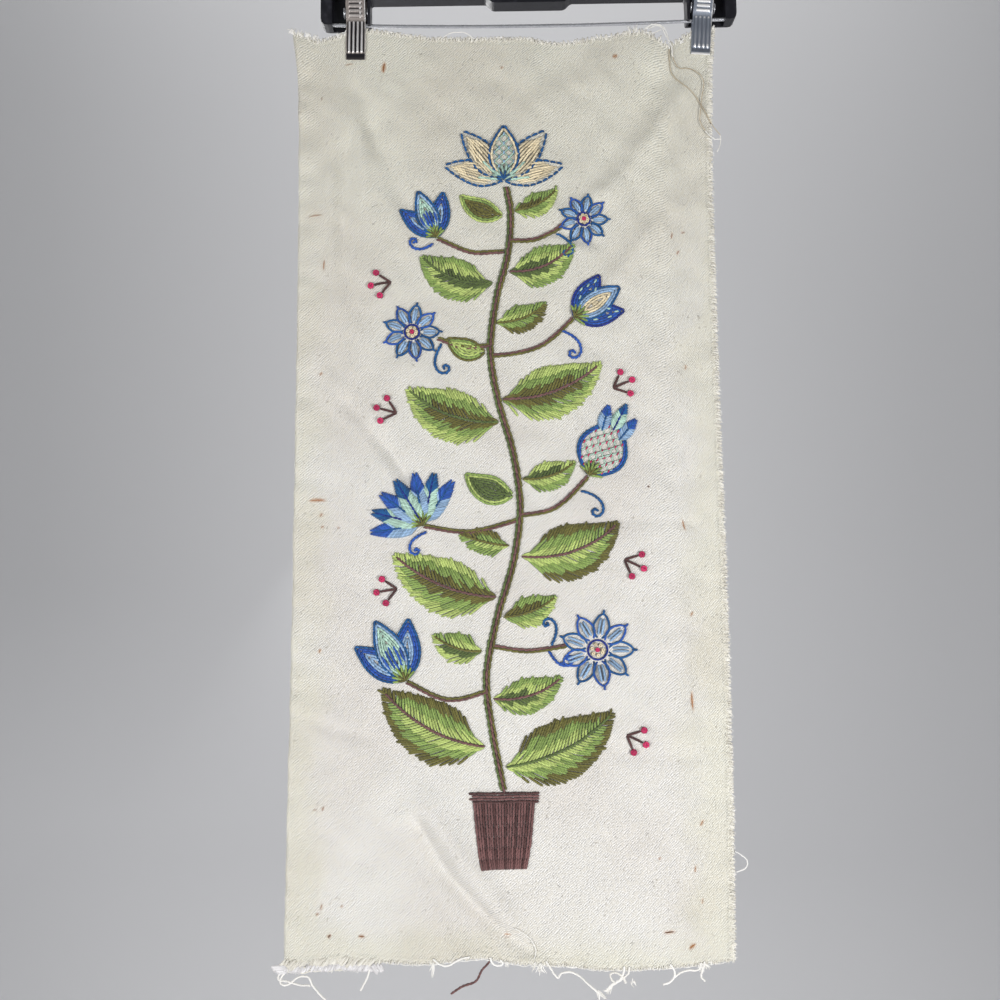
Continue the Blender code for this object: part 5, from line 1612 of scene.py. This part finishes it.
def press_jaw(side, jaw, seat):
    """One pressed jaw about the rod, as a curved plate, with its light and shade painted in a carried tone.
    """
    groove_tone, flute_tone, rib_tone, line_tone, dot_tone, lip_tone, rim_tone = PAINTED_PLATE_LIGHT[side]
    heights, front_gaps, back_gaps = np.array(JAW_PROFILE).T
    front_jaw = jaw == "front"
    gaps = front_gaps if front_jaw else back_gaps
    facing = -1.0 if front_jaw else 1.0

    def place(s, t):
        height = heights[0] + (heights[-1] - heights[0]) * t
        across = 2.0 * s - 1.0
        middle = np.abs(across)
        near = [np.interp(-(height + shift), -heights, gaps)
                for shift in np.linspace(-PROFILE_EASE, PROFILE_EASE, 7)]
        gap = np.mean(near, axis=0)
        # Painted light in the carried tone: a highlight down the jaw's right edge, highlights on the flute
        # crests and their ends, shade in the grooves, highlights and shade on the ribs and the dots between
        # them, and light and shade on the lip and its rim.
        dark = PLAIN_TONE - 0.30 * ease(0.90, 0.94, across)
        if front_jaw:
            fluted = ease(FLUTE_BOTTOM, FLUTE_BOTTOM + 0.0013, height)
            fluted *= ease(FLUTE_TOP, FLUTE_TOP - 0.0012, height) * ease(0.90, 0.86, middle)
            flute = np.maximum(0.0, np.sin(0.5 * math.pi * FLUTES * (across / 0.86 + 1.0)) ** 2) ** 0.7
            ribbed = ease(RIB_START, RIB_START + 0.0008, height) * ease(RIB_END, RIB_END - 0.0008, height)
            ribbed *= ease(0.70, 0.62, middle)
            rib = 0.5 - 0.5 * np.cos(math.tau * (height - RIB_START) / RIB_PITCH)
            gap = gap + FLUTE_DEPTH * flute * fluted + RIB_DEPTH * ribbed * rib
            lip = ease(LIP_TOP, LIP_TOP - 0.0012, height) * ease(0.97, 0.92, middle)
            rim = ease(RIM_TOP, RIM_TOP - 0.0006, height)
            ends = ease(-0.0238, -0.0252, height) + 0.8 * ease(FLUTE_TOP - 0.0032, FLUTE_TOP - 0.0020, height)
            crest = (flute_tone + 0.12 * ease(-0.018, -0.004, height)) * (1.0 - ends)
            dark += fluted * (crest + (groove_tone - crest) * ease(0.91, 0.62, flute) - dark)
            dot = ease(0.36, 0.42, across) * ease(0.60, 0.54, across)
            between = line_tone + (dot_tone - line_tone) * dot
            dark += ribbed * (rib_tone + (between - rib_tone) * ease(0.42, 0.16, rib) - dark)
            dark += lip * (lip_tone + (rim_tone - lip_tone) * rim - dark)
        rolled = SIDE_ROLL * ease(0.90, 1.0, middle) * ease(-0.003, -0.006, height)
        gap = np.maximum(gap - rolled, np.minimum(gap, GRIP_GAP))
        places = np.stack((0.5 * CLIP_WIDTH * across, facing * (gap + 0.5 * JAW_METAL), height), axis=1)
        return places, np.stack((s, t), axis=1), dark

    name = side + "_" + jaw + "_jaw"
    mesh = lay_sheet("pressed_" + name, 72 if front_jaw else 20, 90, place)
    mesh.transform(seat)
    mesh.materials.append(PLATES[side])
    thicken(add_piece("pressed_" + name, mesh, "clip_steel", "clip_" + name), JAW_METAL)


for side, clip_x, lean in CLIPS:
    along = clip_x + ROD_END_HEIGHT * math.sin(HANGER_TILT)
    seat = Matrix.Translation(tilted @ Vector((along, 0.0, rod_height(along))))
    seat = seat @ Matrix.Rotation(math.radians(lean), 4, "Y")
    for jaw in ("front", "back"):
        press_jaw(side, jaw, seat)
    coil = [seat @ Vector((SPRING_HALF_WIDTH * (2.0 * ease(0.2, 0.8, share) - 1.0),
                           SPRING_RADIUS * math.cos(math.tau * SPRING_TURNS * share),
                           SPRING_HEIGHT + SPRING_RADIUS * math.sin(math.tau * SPRING_TURNS * share)))
            for share in np.linspace(0.0, 1.0, 97)]
    bend_wire("coiled_" + side + "_spring", coil, SPRING_WIRE, "clip_steel", "clip_" + side + "_spring")

# Studio: a pale floor that sweeps up behind, a soft light low on the right, a broader
# one on the left, one over the backdrop and a weak one for the back of the cloth.
FLOOR_HEIGHT = -1.75
FLOOR_HALF = 2.6
WALL = 1.45
WALL_TOP = 1.6
BEND = 0.5
backdrop, _, backdrop_shader = new_finish("pale_backdrop", 0.9)
backdrop_shader.inputs["Base Color"].default_value = dyed(220, 220, 222)
profile = [(-FLOOR_HALF, FLOOR_HEIGHT), (WALL - BEND, FLOOR_HEIGHT)]
profile += [(WALL - BEND + BEND * math.sin(turn), FLOOR_HEIGHT + BEND - BEND * math.cos(turn))
            for turn in np.linspace(0.1, math.pi / 2, 16)]
profile += [(WALL, WALL_TOP)]
sweep = bmesh.new()
edge = [sweep.verts.new((-FLOOR_HALF, y, z)) for y, z in profile]
edges = [sweep.edges.new(pair) for pair in zip(edge, edge[1:])]
grown = bmesh.ops.extrude_edge_only(sweep, edges=edges)["geom"]
other_side = [item for item in grown if isinstance(item, bmesh.types.BMVert)]
bmesh.ops.translate(sweep, vec=(2.0 * FLOOR_HALF, 0.0, 0.0), verts=other_side)
bmesh.ops.recalc_face_normals(sweep, faces=sweep.faces)
sweep_mesh = mesh_of("studio_floor", sweep)
sweep_mesh.materials.append(backdrop)
studio_floor = bpy.data.objects.new("studio_floor", sweep_mesh)
bpy.context.scene.collection.objects.link(studio_floor)

LIGHTS = [
    # name, place, aim, size, power
    ("low_right_light", (0.95, -1.2, -0.96), (0.0, 0.0, -0.64), 0.45, 15.6),
    ("left_light", (-1.25, -1.3, -0.84), (0.0, 0.0, -0.60), 1.2, 19.0),
    ("back_light", (0.0, 0.75, 1.6), (0.0, 1.45, -0.4), 2.2, 21.0),
    ("rear_light", (-0.6, 1.25, -0.1), (0.0, 0.0, -0.55), 0.7, 9.0),
]
for name, place, aim, size, power in LIGHTS:
    lamp = bpy.data.lights.new(name, "AREA")
    lamp.size = size
    lamp.energy = power
    light = bpy.data.objects.new(name, lamp)
    light.location = place
    light.rotation_euler = (Vector(aim) - Vector(place)).to_track_quat("-Z", "Y").to_euler()
    bpy.context.scene.collection.objects.link(light)

world = bpy.data.worlds.new("studio")
world.use_nodes = True
background = world.node_tree.nodes["Background"]
background.inputs["Color"].default_value = (0.80, 0.82, 0.85, 1.0)
background.inputs["Strength"].default_value = 0.163
bpy.context.scene.world = world
bpy.context.scene.view_settings.view_transform = "Standard"
